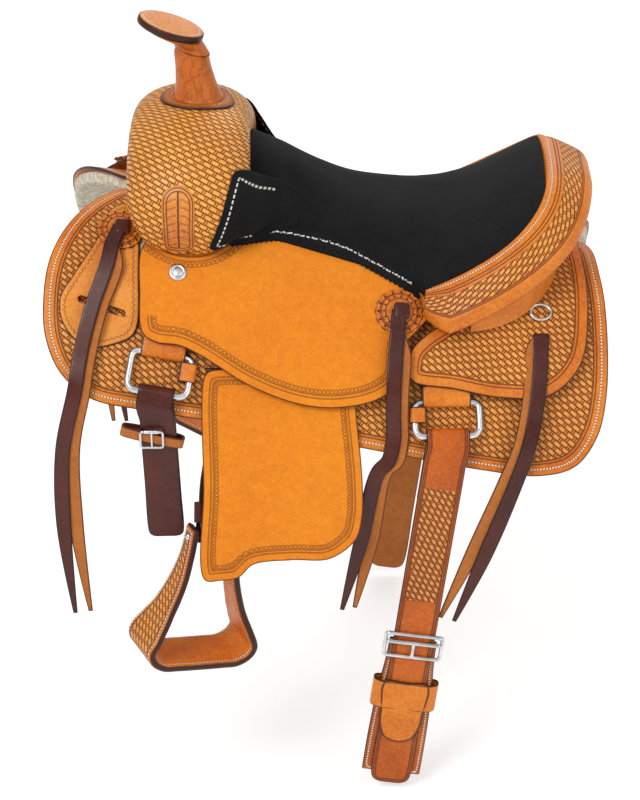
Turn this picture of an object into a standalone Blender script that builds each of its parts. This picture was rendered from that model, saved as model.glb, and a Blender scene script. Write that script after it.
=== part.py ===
"""Western roping saddle: tree, leathers, rigging, stirrups and strings as separate pieces.

Metres. +X points to the rear of the saddle, -Y to the near (left) side and +Z up.
The origin lies on the centreline of the horse's back, under the seat.

The side of the saddle follows the horse's barrel. A place on it is given by x and by its
depth below the ridge of the back, and a layer of leather by its lift off the skirt's
inner face, measured square to the barrel.
"""
import bmesh
import bpy
import numpy as np
from math import cos, pi, radians, sin, sqrt
from mathutils import Matrix, Vector

NEAR = -1
OFF = 1

# Horse barrel: half an ellipse across, falling towards the rear
BARREL_HALF_WIDTH = 0.300
BARREL_DEPTH = 0.500
RIDGE_FALL = 0.11
STRIP_TURN = radians(4.5)

# Leather thicknesses and the clearance between layers
GAP = 0.0004
FLEECE = 0.015
SKIRT_LEATHER = 0.005
JOCKEY_LEATHER = 0.004
PLATE_LEATHER = 0.0035
FENDER_LEATHER = 0.004
STRAP_LEATHER = 0.0035
STRING_LEATHER = 0.0025

# Tree
BAR_THICK = 0.010
BAR_TOP_DEPTH = 0.010
BAR_BOTTOM_DEPTH = 0.0735
BAR_FRONT_X = -0.262
BAR_REAR_X = 0.300

# Fork and swell
SWELL_X = -0.166
SWELL_HALF_LENGTH = 0.076
SWELL_HALF_WIDTH = 0.158
SWELL_TOP = 0.152
SWELL_LEATHER = 0.004
GULLET_RISE = 0.018
FOOT_SHARES = (0.60, 0.72)
FOOT_THICK = 0.008
OPENING_SHARE = 0.86

# Horn
HORN_BASE_X = -0.155
HORN_NECK_X = -0.162
HORN_BASE_RADIUS = 0.031
HORN_NECK_RADIUS = 0.0225
HORN_CORE_RADIUS = 0.012
CAP_X = -0.186
CAP_Z = 0.248
CAP_LENGTH = 0.086
CAP_WIDTH = 0.073
CAP_THICK = 0.011
CAP_TILT = radians(18)

# Seat
SEAT_THICK = 0.011
SEAT_FRONT_X = -0.088
RIM_REAR_X = 0.288
RIM_LENGTH = 0.153
RIM_HALF_WIDTH = 0.172
RIM_TUCK = 0.05
RIM_FALL = 0.60
RIM_TOP = 0.078
RIM_FRONT_Z = -0.0416
RIM_SQUARENESS = 0.42

# Cantle roll
ROLL_WIDTH_REAR = 0.066
ROLL_WIDTH_SIDE = 0.068
ROLL_SLOPE_REAR = radians(20)
ROLL_SLOPE_SIDE = radians(48)
ROLL_THICK = 0.013
CANTLE_THICK = 0.018

# Rigging rings
RING_WIRE = 0.0045
RING_TOP_LIFT = 0.0110
RING_BOTTOM_LIFT = 0.0185
FRONT_RING_TURN = radians(9)
FRONT_RING_X = -0.1915
FRONT_RING_HALF = 0.0380
FRONT_RING_TOP = 0.136
FRONT_RING_DROP = 0.050
REAR_RING_TURN = radians(-2)
REAR_RING_X = 0.162
REAR_RING_HALF = 0.0405
REAR_RING_TOP = 0.155
REAR_RING_DROP = 0.042
RING_CORNER = 0.0085
RIGGING_THICK = 0.0115

# Fender and stirrup
FENDER_TOUCH_DEPTH = 0.188
PIVOT_X = -0.105
PIVOT_DEPTH = 0.140
STIRRUP_LEATHER_WIDTH = 0.044
BOLT_X = -0.128
BOLT_DOWN = 0.212
BOLT_INSET = 0.022
BOLT_RADIUS = 0.005
BOLT_LENGTH = 0.078
STIRRUP_TURN = radians(27)
STIRRUP_HEIGHT = 0.171
STIRRUP_HALF_TOP = 0.031
STIRRUP_HALF_BOTTOM = 0.072
TREAD_DEPTH = 0.074
BRANCH_TOP_DEPTH = 0.024
STIRRUP_THICK = 0.010

# Straps that hang
LATIGO_WIDTH = 0.045
LATIGO_DROP = 0.200
HOBBLE_WIDTH = 0.014
BILLET_WIDTH = 0.054
BILLET_LENGTH = 0.522
BILLET_LEAN = 0.127
BUCKLE_DOWN = 0.300
BUCKLE_WIDTH = 0.074
BUCKLE_HEIGHT = 0.034
CINCH_WIDTH = 0.078
CINCH_THICK = 0.008
KEEPER_DOWN = 0.359
KEEPER_LENGTH = 0.094
STRING_WIDTH = 0.019
SKIRT_SLOPE = 0.44

# Small parts
ROSETTE_RADIUS = 0.030
ROSETTE_SCALLOPS = 15
ROSETTE_THICK = 0.0050
SCREW_RADIUS = 0.0115
DEE_RADIUS = 0.013

# Outlines as (x, depth below the ridge)
SKIRT_OUTLINE = [
    (-0.249, 0.0008), (-0.281, 0.005), (-0.315, 0.022), (-0.337, 0.053), (-0.343, 0.091),
    (-0.339, 0.131), (-0.320, 0.167), (-0.282, 0.192), (-0.220, 0.199), (-0.080, 0.206),
    (0.057, 0.216), (0.205, 0.227), (0.281, 0.227), (0.325, 0.212), (0.352, 0.177),
    (0.364, 0.132), (0.366, 0.062), (0.360, 0.021), (0.346, 0.003), (0.300, 0.0008),
    (0.240, 0.0012), (0.150, 0.012), (-0.050, 0.012), (-0.180, 0.004),
]
REAR_JOCKEY_OUTLINE = [
    (0.122, 0.139), (0.170, 0.141), (0.229, 0.145), (0.292, 0.137), (0.330, 0.104), (0.341, 0.056),
    (0.336, 0.014), (0.322, 0.002), (0.285, 0.0015), (0.262, 0.004), (0.225, 0.030),
    (0.190, 0.058), (0.160, 0.077), (0.134, 0.092), (0.117, 0.108), (0.114, 0.132),
]
SEAT_JOCKEY_OUTLINE = [
    (-0.222, 0.045), (-0.222, 0.080), (-0.217, 0.118), (-0.200, 0.126), (-0.171, 0.127),
    (-0.146, 0.134), (-0.083, 0.160), (-0.021, 0.174), (0.029, 0.173), (0.079, 0.159),
    (0.105, 0.138), (0.110, 0.104), (0.128, 0.086), (0.146, 0.068), (0.138, 0.048),
    (0.103, 0.032), (0.040, 0.020), (-0.024, 0.013), (-0.100, 0.018), (-0.160, 0.026),
    (-0.205, 0.030),
]
PLATE_OUTLINE = [
    (-0.263, 0.016), (-0.280, 0.040), (-0.305, 0.070), (-0.321, 0.092), (-0.319, 0.112),
    (-0.301, 0.131), (-0.280, 0.137), (-0.250, 0.130), (-0.231, 0.121), (-0.2235, 0.108),
    (-0.2235, 0.060), (-0.2275, 0.028), (-0.243, 0.012),
]
SLOT_ENDS = [(-0.294, 0.091), (-0.243, 0.100)]
SLOT_HALF_HEIGHT = 0.0045
FENDER_OUTLINE = [
    (-0.141, 0.012), (-0.134, 0.004), (-0.095, 0.001), (-0.050, 0.000), (0.000, 0.002),
    (0.036, 0.008), (0.045, 0.018), (0.050, 0.060), (0.058, 0.140), (0.058, 0.185),
    (0.050, 0.214), (0.018, 0.238), (-0.030, 0.240), (-0.078, 0.246), (-0.096, 0.262),
    (-0.118, 0.266), (-0.139, 0.265), (-0.141, 0.150),
]
FRONT_ROSETTE = (-0.249, 0.030)
MIDDLE_ROSETTE = (0.102, 0.074)
JOCKEY_SCREW = (-0.175, 0.060)
STRING_DEE = (0.280, 0.060)

# String routes: (x, depth) on the barrel, then (x, drop below the last one) hanging free
FRONT_STRING = ([(-0.262, 0.060), (-0.280, 0.100), (-0.293, 0.145), (-0.300, 0.185)],
                [(-0.318, 0.080), (-0.322, 0.190), (-0.313, 0.320)])
MIDDLE_STRING = ([(0.098, 0.115), (0.096, 0.145), (0.0955, 0.175), (0.096, 0.202), (0.090, 0.227)],
                 [(0.077, 0.014), (0.056, 0.118), (0.033, 0.216)])
REAR_STRING = ([(0.280, 0.095), (0.276, 0.140), (0.266, 0.190)],
               [(0.250, 0.055), (0.214, 0.162), (0.178, 0.258)])

COLOURS = {
    "tooled_leather": ((0.52, 0.21, 0.05), 0.45, 0.0),
    "roughout_leather": ((0.62, 0.27, 0.05), 0.9, 0.0),
    "dark_latigo": ((0.09, 0.018, 0.010), 0.35, 0.0),
    "black_suede": ((0.012, 0.013, 0.015), 0.95, 0.0),
    "fleece": ((0.78, 0.72, 0.60), 1.0, 0.0),
    "wood": ((0.45, 0.30, 0.15), 0.8, 0.0),
    "stainless": ((0.70, 0.70, 0.72), 0.25, 1.0),
}


def clear_scene():
    for old in list(bpy.data.objects):
        bpy.data.objects.remove(old, do_unlink=True)


def material(name):
    """One Principled material for each finish and piece."""
    colour, roughness, metallic = COLOURS[name]
    made = bpy.data.materials.new(name)
    made.use_nodes = True
    shader = made.node_tree.nodes["Principled BSDF"]
    shader.inputs["Base Color"].default_value = (*colour, 1)
    shader.inputs["Roughness"].default_value = roughness
    shader.inputs["Metallic"].default_value = metallic
    made.diffuse_color = (*colour, 1)
    return made


def ridge_z(x):
    return -RIDGE_FALL * x


def on_barrel(x, depth, lift, side):
    """Point at a depth below the ridge, lifted square to the barrel."""
    x, depth = np.asarray(x, float), np.asarray(depth, float)
    turn = np.arccos(np.clip(1 - depth / BARREL_DEPTH, -1, 1))
    ny, nz = BARREL_DEPTH * np.sin(turn), BARREL_HALF_WIDTH * np.cos(turn)
    size = np.hypot(ny, nz)
    y = BARREL_HALF_WIDTH * np.sin(turn) + lift * ny / size
    z = ridge_z(x) - depth + lift * nz / size
    return np.stack([x + 0 * y, side * y, z], axis=-1)


def on_strips(x, depth, lift, side):
    """Like on_barrel, on flat strips between the levels where sheets are creased.

    lift is a function of depth and is taken at the levels alone, so that layers nest.
    """
    turn = np.arccos(np.clip(1 - np.asarray(depth, float) / BARREL_DEPTH, -1, 1)) / STRIP_TURN
    low = np.floor(turn)
    share = (turn - low)[:, None]
    ends = []
    for level in (low, low + 1):
        at = BARREL_DEPTH * (1 - np.cos(level * STRIP_TURN))
        ends.append(on_barrel(x, at, lift(at), side))
    return ends[0] * (1 - share) + ends[1] * share


def layer_top(x, y, lift):
    """Height of a layer of leather at a place in plan."""
    depth = np.linspace(0, 0.25, 400) ** 2 * 8
    points = on_barrel(0.0, np.minimum(depth, BARREL_DEPTH), lift, 1)
    return ridge_z(x) + np.interp(np.abs(y), points[:, 1], points[:, 2])


def smooth_through(points, spans=3, closed=True):
    """Centripetal curve through the points, with a few steps to each span."""
    p = np.asarray(points, float)
    n = len(p)
    out = []
    for i in range(n if closed else n - 1):
        if closed:
            quad = [p[(i + k) % n] for k in (-1, 0, 1, 2)]
        else:
            quad = [p[max(i - 1, 0)], p[i], p[i + 1], p[min(i + 2, n - 1)]]
        knots = [0.0]
        for a, b in zip(quad, quad[1:]):
            knots.append(knots[-1] + max(np.linalg.norm(b - a), 1e-6) ** 0.5)
        for k in range(spans):
            t = knots[1] + (knots[2] - knots[1]) * k / spans
            a = [((knots[j + 1] - t) * quad[j] + (t - knots[j]) * quad[j + 1])
                 / (knots[j + 1] - knots[j]) for j in range(3)]
            b = [((knots[j + 2] - t) * a[j] + (t - knots[j]) * a[j + 1])
                 / (knots[j + 2] - knots[j]) for j in range(2)]
            out.append(((knots[2] - t) * b[0] + (t - knots[1]) * b[1]) / (knots[2] - knots[1]))
    if not closed:
        out.append(p[-1])
    return np.array(out)


def add_mesh(name, points, faces, finish, smooth=False):
    """Object with its faces turned outwards."""
    bm = bmesh.new()
    verts = [bm.verts.new(tuple(map(float, p))) for p in points]
    for face in faces:
        bm.faces.new([verts[i] for i in face])
    bmesh.ops.recalc_face_normals(bm, faces=bm.faces)
    if bm.calc_volume(signed=True) < 0:
        bmesh.ops.reverse_faces(bm, faces=bm.faces)
    mesh = bpy.data.meshes.new(name)
    bm.to_mesh(mesh)
    bm.free()
    if smooth:
        mesh.shade_smooth()
        mesh.set_sharp_from_angle(angle=radians(40))
    mesh.materials.append(material(finish))
    made = bpy.data.objects.new(name, mesh)
    bpy.context.collection.objects.link(made)
    return made


def hang_from(piece, point):
    """Put the origin of a piece that moves on the axis of its joint."""
    piece.data.transform(Matrix.Translation(-Vector(point)))
    piece.location = point


def loft(name, rings, finish, smooth=True, closed=False):
    """Solid through rings of equal count, capped at its ends or joined end to start."""
    rings = [np.asarray(r, float) for r in rings]
    n, count = len(rings[0]), len(rings)
    faces = []
    for i in range(count if closed else count - 1):
        a, b = i * n, ((i + 1) % count) * n
        for k in range(n):
            j = (k + 1) % n
            faces += [(a + k, a + j, b + j), (a + k, b + j, b + k)]
    if not closed:
        faces += [tuple(range(n))[::-1], tuple(range((count - 1) * n, count * n))]
    return add_mesh(name, np.concatenate(rings), faces, finish, smooth)


def boolean(target, cutter, operation="DIFFERENCE"):
    modifier = target.modifiers.new(operation.lower(), "BOOLEAN")
    modifier.operation = operation
    modifier.object = cutter
    cutter.hide_render = True
    cutter.display_type = "WIRE"


def sheet_mesh(outline, levels, place):
    """Flat outline cut at levels of its second coordinate, given two faces and a rim.

    place(a, b, face) gives the points of face 0, the inner one, and face 1, the outer one.
    """
    bm = bmesh.new()
    bm.faces.new([bm.verts.new((a, b, 0)) for a, b in outline])
    bmesh.ops.triangulate(bm, faces=bm.faces)
    for level in levels:
        bmesh.ops.bisect_plane(bm, geom=bm.verts[:] + bm.edges[:] + bm.faces[:],
                               dist=1e-5, plane_co=(0, level, 0), plane_no=(0, 1, 0))
    inner = [e for e in bm.edges if len(e.link_faces) == 2
             and not any(abs(e.verts[0].co.y - v) + abs(e.verts[1].co.y - v) < 4e-5 for v in levels)]
    bmesh.ops.dissolve_edges(bm, edges=inner, use_verts=False)
    spare = [v for v in bm.verts if len(v.link_edges) == 2 and len(v.link_faces) == 2]
    bmesh.ops.dissolve_verts(bm, verts=spare)
    bmesh.ops.triangulate(bm, faces=bm.faces)
    bm.verts.index_update()
    flat = np.array([v.co[:2] for v in bm.verts])
    top = [tuple(v.index for v in f.verts) for f in bm.faces]
    n = len(flat)
    faces = [f for f in top] + [tuple(i + n for i in f[::-1]) for f in top]
    for edge in bm.edges:
        if edge.is_boundary:
            a, b = (v.index for v in edge.verts)
            faces.append((a, b, b + n, a + n))
    bm.free()
    points = [place(flat[:, 0], flat[:, 1], face) for face in (0, 1)]
    return np.concatenate(points), faces


def barrel_sheet(name, outline, lift, thick, side, finish):
    """Leather that follows the barrel, at a lift that may change with depth."""
    def place(x, depth, face):
        def height(at):
            return (lift(at) if callable(lift) else lift) + face * thick
        return on_strips(x, depth, height, side)

    levels = [BARREL_DEPTH * (1 - cos(k * STRIP_TURN)) for k in range(1, 20)]
    points, faces = sheet_mesh(outline, levels, place)
    return add_mesh(name, points, faces, finish)


def strap(name, path, across, widths, thicks, finish, closed=False, corner=0.0):
    """Flat strap along a path; across is the direction of its width at each point."""
    path = np.asarray(path, float)
    across = np.broadcast_to(np.asarray(across, float), path.shape)
    widths = np.broadcast_to(widths, (len(path),))
    thicks = np.broadcast_to(thicks, (len(path),))
    if closed:
        ahead = np.roll(path, -1, 0) - np.roll(path, 1, 0)
    else:
        ahead = np.gradient(path, axis=0)
    ahead = ahead / np.linalg.norm(ahead, axis=1, keepdims=True)
    wide = across - (across * ahead).sum(1, keepdims=True) * ahead
    wide = wide / np.linalg.norm(wide, axis=1, keepdims=True)
    normal = np.cross(ahead, wide)
    if corner:
        shape = [(-1, -1 + corner), (-1, 1 - corner), (-1 + corner * 0.4, 1), (1 - corner * 0.4, 1),
                 (1, 1 - corner), (1, -1 + corner), (1 - corner * 0.4, -1), (-1 + corner * 0.4, -1)]
    else:
        shape = [(-1, -1), (-1, 1), (1, 1), (1, -1)]
    rings = [[p + w * a * s[0] / 2 + t * b * s[1] / 2 for s in shape]
             for p, a, b, w, t in zip(path, wide, normal, widths, thicks)]
    return loft(name, rings, finish, smooth=False, closed=closed)


def round_bar(name, path, radius, finish, closed=False, sides=8, hint=(0, 0, 1)):
    """Round wire along a path."""
    path = np.asarray(path, float)
    if closed:
        ahead = np.roll(path, -1, 0) - np.roll(path, 1, 0)
    else:
        ahead = np.gradient(path, axis=0)
    ahead = ahead / np.linalg.norm(ahead, axis=1, keepdims=True)
    first = np.cross(ahead, hint)
    first = first / np.linalg.norm(first, axis=1, keepdims=True)
    second = np.cross(ahead, first)
    turns = np.linspace(0, 2 * pi, sides, endpoint=False)
    rings = [[p + radius * (cos(t) * a + sin(t) * b) for t in turns]
             for p, a, b in zip(path, first, second)]
    return loft(name, rings, finish, closed=closed)


# Lifts of the layers over the skirt
SKIRT_OUT = SKIRT_LEATHER
BAR_IN = SKIRT_OUT + GAP
BAR_OUT = BAR_IN + BAR_THICK
REAR_JOCKEY_IN = BAR_OUT + GAP
REAR_JOCKEY_OUT = REAR_JOCKEY_IN + JOCKEY_LEATHER
SEAT_JOCKEY_IN = REAR_JOCKEY_OUT + GAP
SEAT_JOCKEY_OUT = SEAT_JOCKEY_IN + JOCKEY_LEATHER

# Half the pitch of two straps that lie back to back
LAY = STRAP_LEATHER / 2 + GAP


def over_bars(depth, low):
    """Lift of a leather that lies over the bars and then drops towards the skirt."""
    t = np.clip((depth - BAR_BOTTOM_DEPTH - 0.0003) / 0.046, 0, 1)
    return REAR_JOCKEY_IN + (low - REAR_JOCKEY_IN) * t * t * (3 - 2 * t)


def rear_jockey_lift(depth):
    return over_bars(depth, SKIRT_OUT + RIGGING_THICK + 5 * GAP)


def plate_lift(depth):
    return over_bars(depth, SKIRT_OUT + GAP)


def rim_point(turn, side):
    """Inner edge of the cantle roll: turn 0 at the rear, pi / 2 at the front corner."""
    c = 1 - cos(turn)
    y = RIM_HALF_WIDTH * max(sin(turn), 0.0) ** RIM_SQUARENESS * (1 - RIM_TUCK * c * c)
    return np.array([RIM_REAR_X - RIM_LENGTH * c, side * y,
                     RIM_TOP - (RIM_TOP - RIM_FRONT_Z) * c ** RIM_FALL])


def rim_line(steps):
    """The whole rim from the off corner to the near corner, evenly spaced."""
    turns = np.linspace(0, pi / 2, 200) ** 2 / (pi / 2)
    half = np.array([rim_point(t, NEAR) for t in turns])
    line = np.concatenate([half[::-1] * (1, -1, 1), half[1:]])
    along = np.concatenate([[0], np.cumsum(np.linalg.norm(np.diff(line, axis=0), axis=1))])
    at = np.linspace(0, along[-1], steps)
    return np.stack([np.interp(at, along, line[:, k]) for k in range(3)], axis=1)


def seat_centre_z(x):
    """Height of the seat along its middle, from the fork to the cantle."""
    xs = [SEAT_FRONT_X, -0.050, -0.026, 0.000, 0.039, 0.080, 0.130, 0.170, 0.210, 0.245, 0.270,
          RIM_REAR_X]
    zs = [0.100, 0.084, 0.070, 0.055, 0.036, 0.026, 0.020, 0.021, 0.029, 0.046, 0.062, RIM_TOP]
    return np.interp(x, xs, zs)


def seat_half_width(x):
    """Half the width of the seat leather at its lower edge or at the rim."""
    rim = np.array([rim_point(t, OFF) for t in np.linspace(0, pi / 2, 60)])[::-1]
    xs = [SEAT_FRONT_X, -0.060, -0.024, 0.040, 0.103]
    ys = [0.112, 0.098, 0.092, 0.108, 0.138]
    return np.interp(x, xs + list(rim[:, 0]), ys + list(rim[:, 1]))


def seat_edge_z(x):
    """Height of the top of the seat leather at its edge."""
    rim = np.array([rim_point(t, OFF) for t in np.linspace(0, pi / 2, 60)])[::-1]
    front_x = np.array([SEAT_FRONT_X, -0.060, -0.024, 0.040, 0.103])
    front_z = [layer_top(a, seat_half_width(a), SEAT_JOCKEY_OUT) + 2 * GAP + 0.006 for a in front_x]
    return np.interp(x, list(front_x) + list(rim[:, 0]), front_z + list(rim[:, 2]))


def seat_surface(x, v):
    """Top of the seat at x, with v from -1 on the near edge to 1 on the off edge."""
    half, edge, centre = seat_half_width(x), seat_edge_z(x), seat_centre_z(x)
    fullness = np.interp(x, [SEAT_FRONT_X, 0.100, 0.160, RIM_REAR_X], [2.4, 3.0, 2.6, 2.2])
    z = edge + (centre - edge) * (1 - np.abs(v) ** fullness)
    return np.stack([x + 0 * v, half * v, z], axis=-1)


def make_seat():
    """Padded suede seat, its edge just inside the rim."""
    rim = rim_line(31)[:16]
    inside = 0.0018
    stations = [(x, seat_half_width(x) - inside) for x in np.linspace(SEAT_FRONT_X, 0.120, 8)]
    for x, y, _ in rim:
        if x - inside > stations[-1][0] + 0.004:
            stations.append((x - inside, abs(y) - inside))
    stations[-1] = (RIM_REAR_X - inside - 0.0006, stations[-1][1])
    across = np.linspace(-1, 1, 13)
    rings = []
    for x, half in stations:
        top = seat_surface(x, across) * (1, 0, 1) + np.outer(across * half, (0, 1, 0))
        low = top[:, 2] - SEAT_THICK
        floor = layer_top(x, top[:, 1], SEAT_JOCKEY_OUT) + 5 * GAP
        low = np.minimum(np.maximum(low, floor), top[:, 2] - 0.0015)
        under = np.stack([top[:, 0], top[:, 1] * 0.995, low], axis=1)
        rings.append(np.concatenate([top, under[::-1]]))
    loft("seat_cover", rings, "black_suede")


def swell_levels(v):
    """Top, underside and half length of the swell at a share v of its half width."""
    shoulder = np.interp(v, [0, 0.3, 0.55, 0.75, 0.88, 0.96, 1],
                         [0, 0.003, 0.014, 0.034, 0.058, 0.080, 0.108])
    y = v * SWELL_HALF_WIDTH
    seat = layer_top(SWELL_X, y, SEAT_JOCKEY_OUT) + 3 * GAP
    arch = GULLET_RISE * max(0.0, 1 - (y / 0.085) ** 2.5)
    rise = np.interp(v, [0, 0.86, 0.94, 1], [0, 0, 0.012, 0.050])
    half = SWELL_HALF_LENGTH * np.interp(v, [0, 0.5, 0.8, 0.92, 0.98, 1],
                                         [1.0, 1.02, 0.98, 0.86, 0.62, 0.30])
    return SWELL_TOP - shoulder, seat + arch + rise, half


def swell_section(v, inset):
    """Ring of the swell in a plane square to Y: a squared oval."""
    top, low, half = swell_levels(abs(v))
    turns = np.linspace(0, 2 * pi, 22, endpoint=False) + pi / 22
    c, s = np.cos(turns), np.sin(turns)
    power = 0.80 + 0.20 * abs(v)
    x = SWELL_X + 0.004 * abs(v) + (half - inset) * np.sign(c) * np.abs(c) ** power
    z = (top + low) / 2 + ((top - low) / 2 - inset) * np.sign(s) * np.abs(s) ** power
    return np.stack([x, 0 * x + v * (SWELL_HALF_WIDTH - inset), z], axis=1)


def swell_opening(v):
    """Section of the long opening under the hood."""
    top, low, half = swell_levels(abs(v))
    reach = half * 0.62
    return [(SWELL_X + a * reach, v * SWELL_HALF_WIDTH, low + b)
            for a, b in ((-1, -0.030), (1, -0.030), (1, 0.016), (-1, 0.016))]


def make_fork():
    """Wooden fork, bored for the horn, and the leather hood over it, open below."""
    share = np.array([1, 0.97, 0.92, OPENING_SHARE, 0.74, 0.58, 0.40, 0.20, 0.0])
    share = np.concatenate([share, -share[-2::-1]])
    cover = loft("swell_cover", [swell_section(v, 0.0) for v in share], "tooled_leather")
    hollow = [swell_section(v, SWELL_LEATHER) for v in share]
    open_share = share[np.abs(share) <= OPENING_SHARE]
    boolean(cover, loft("swell_opening", [swell_opening(v) for v in open_share], "wood"))
    boolean(cover, loft("swell_hollow", hollow, "wood"))
    fork = loft("tree_fork", [swell_section(v, SWELL_LEATHER + 0.0009) for v in share], "wood")
    bore = round_bar("horn_bore", [(HORN_BASE_X, 0, SWELL_TOP - 0.0325), (HORN_BASE_X, 0, 0.180)],
                     HORN_CORE_RADIUS + GAP, "wood", sides=12, hint=(0, 1, 0))
    boolean(cover, bore)
    boolean(fork, bore)
    reach = SWELL_HALF_LENGTH * 0.5
    upper, lower = (BARREL_DEPTH * (1 - sqrt(1 - (SWELL_HALF_WIDTH * a / BARREL_HALF_WIDTH) ** 2))
                    for a in FOOT_SHARES)
    footprint = [(SWELL_X - reach, upper), (SWELL_X - reach, lower), (SWELL_X + reach, lower),
                 (SWELL_X + reach, upper)]
    for side, word in ((NEAR, "near"), (OFF, "off")):
        foot = barrel_sheet(f"fork_foot_{word}", footprint, SEAT_JOCKEY_OUT + GAP, FOOT_THICK,
                            side, "wood")
        boolean(fork, foot, "UNION")


def horn_ring(x, z, radius, tilt=0.0, count=18):
    turns = np.linspace(0, 2 * pi, count, endpoint=False)
    along, y = radius * np.cos(turns), radius * np.sin(turns)
    return np.stack([x + along * cos(tilt), y, z - along * sin(tilt)], axis=1)


def make_horn():
    """Steel horn, its wrapped neck and the leather cap."""
    up = np.array([sin(CAP_TILT), 0, cos(CAP_TILT)])
    along = np.array([cos(CAP_TILT), 0, -sin(CAP_TILT)])
    under = np.array([CAP_X, 0, CAP_Z]) - up * CAP_THICK
    seat = under + along * 0.015 - up * 0.0007
    neck = np.array([HORN_NECK_X - HORN_BASE_X, 0.055])
    foot = np.array([HORN_BASE_X, SWELL_TOP + 0.0006])
    places = [foot, foot + neck * 0.2, foot + neck * 0.6, foot + neck,
              foot + neck * (1.5, 1.15), (seat[0], seat[2])]
    radii = (HORN_BASE_RADIUS, 0.0275, 0.0240, HORN_NECK_RADIUS, 0.0230, 0.0300)
    tilts = CAP_TILT * np.array([0, 0.1, 0.3, 0.6, 0.9, 1.0])
    rings = [horn_ring(x, z, r, t) for (x, z), r, t in zip(places, radii, tilts)]
    wrap = loft("horn_neck_wrap", rings, "tooled_leather")
    core = np.array([(HORN_BASE_X, 0, SWELL_TOP - 0.030), (HORN_BASE_X, 0, 0.165),
                     (HORN_NECK_X, 0, 0.207)])
    bore = np.concatenate([core[:1] - (0, 0, 0.01), core, core[-1:] + (core[2] - core[1]) * 0.03])
    boolean(wrap, round_bar("neck_bore", bore, HORN_CORE_RADIUS + GAP + 0.0002, "wood", sides=12,
                            hint=(0, 1, 0)))
    round_bar("horn_core", core, HORN_CORE_RADIUS, "stainless", sides=12, hint=(0, 1, 0))
    wide = CAP_WIDTH / CAP_LENGTH
    rings = []
    for grow, rise in ((0.93, 0.0), (1.0, 0.002), (1.0, CAP_THICK - 0.002), (0.95, CAP_THICK)):
        ring = horn_ring(0, 0, CAP_LENGTH / 2 * grow, CAP_TILT, 24) * (1, wide, 1)
        rings.append(ring + under + up * rise)
    loft("horn_cap", rings, "tooled_leather")


def make_bars():
    for side, word in ((NEAR, "near"), (OFF, "off")):
        outline = smooth_through([
            (BAR_FRONT_X, 0.030), (BAR_FRONT_X + 0.010, BAR_BOTTOM_DEPTH - 0.012),
            (-0.180, BAR_BOTTOM_DEPTH), (0.0, BAR_BOTTOM_DEPTH - 0.008),
            (0.220, BAR_BOTTOM_DEPTH), (BAR_REAR_X - 0.008, BAR_BOTTOM_DEPTH - 0.014),
            (BAR_REAR_X, 0.030), (BAR_REAR_X - 0.016, BAR_TOP_DEPTH),
            (0.100, BAR_TOP_DEPTH + 0.002), (-0.150, BAR_TOP_DEPTH), (BAR_FRONT_X + 0.018, 0.014)],
            spans=2)
        barrel_sheet(f"tree_bar_{word}", outline, BAR_IN, BAR_THICK, side, "wood")


def roll_frame(steps):
    """Rim points with the outward direction, slope, width and thickness of the roll."""
    line = rim_line(steps)
    ahead = np.gradient(line, axis=0)
    plan = np.cross(ahead, (0, 0, 1))
    plan /= np.linalg.norm(plan, axis=1, keepdims=True)
    away = line - (RIM_REAR_X - RIM_LENGTH, 0, 0)
    plan *= np.sign((plan * away).sum(1, keepdims=True))
    share = np.abs(np.linspace(-1, 1, steps))
    sidewise = np.clip((share - 0.12) / 0.38, 0, 1)
    slope = ROLL_SLOPE_REAR + (ROLL_SLOPE_SIDE - ROLL_SLOPE_REAR) * sidewise
    taper = np.clip((1.05 - share) / 0.16, 0.12, 1) ** 0.6
    width = (ROLL_WIDTH_REAR + (ROLL_WIDTH_SIDE - ROLL_WIDTH_REAR) * sidewise) * taper
    return line, plan, slope, width, ROLL_THICK * (0.35 + 0.65 * taper)


def roll_section(slope, w, t):
    """Section of the roll as (outward, up) from the rim; the underside comes last."""
    shape = [(0.0012, 0.0), (w * 0.25, 0.004), (w * 0.6, 0.0055), (w * 0.86, 0.003),
             (w * 0.97, -0.002), (w, -t * 0.55), (w * 0.95, -t), (w * 0.84, -t * 1.1),
             (w * 0.5, -t * 0.75)]
    turned = [(a * cos(slope) + b * sin(slope), b * cos(slope) - a * sin(slope)) for a, b in shape]
    return turned + [(0.0012, -t * 0.6)]


def make_cantle():
    """Cantle roll, the wooden cantle under it and its leather back."""
    stations = list(zip(*roll_frame(31)))
    rings = []
    for p, plan, slope, w, t in stations:
        rings.append([p + plan * a + np.array([0, 0, b]) for a, b in roll_section(slope, w, t)])
    loft("cantle_roll", rings, "tooled_leather")
    for name, start, thick, finish in (("tree_cantle", 0.003, CANTLE_THICK, "wood"),
                                       ("cantle_back", 0.004 + CANTLE_THICK, 0.004, "tooled_leather")):
        rings = []
        for p, plan, slope, w, t in stations:
            under = roll_section(slope, w, t)[:-4:-1]
            ring = []
            for reach in (start, start + thick):
                drop = np.interp(reach, [a for a, _ in under], [b for _, b in under])
                top = p + plan * reach + (0, 0, drop - 0.0015)
                foot = p + plan * (reach - 0.004)
                foot[2] = layer_top(foot[0], foot[1], SEAT_JOCKEY_OUT) + 0.001
                ring += [top, foot]
            if ring[2][2] > ring[3][2] + 0.020:
                rings.append([ring[0], ring[2], ring[3], ring[1]])
        loft(name, rings, finish, smooth=False)


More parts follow.
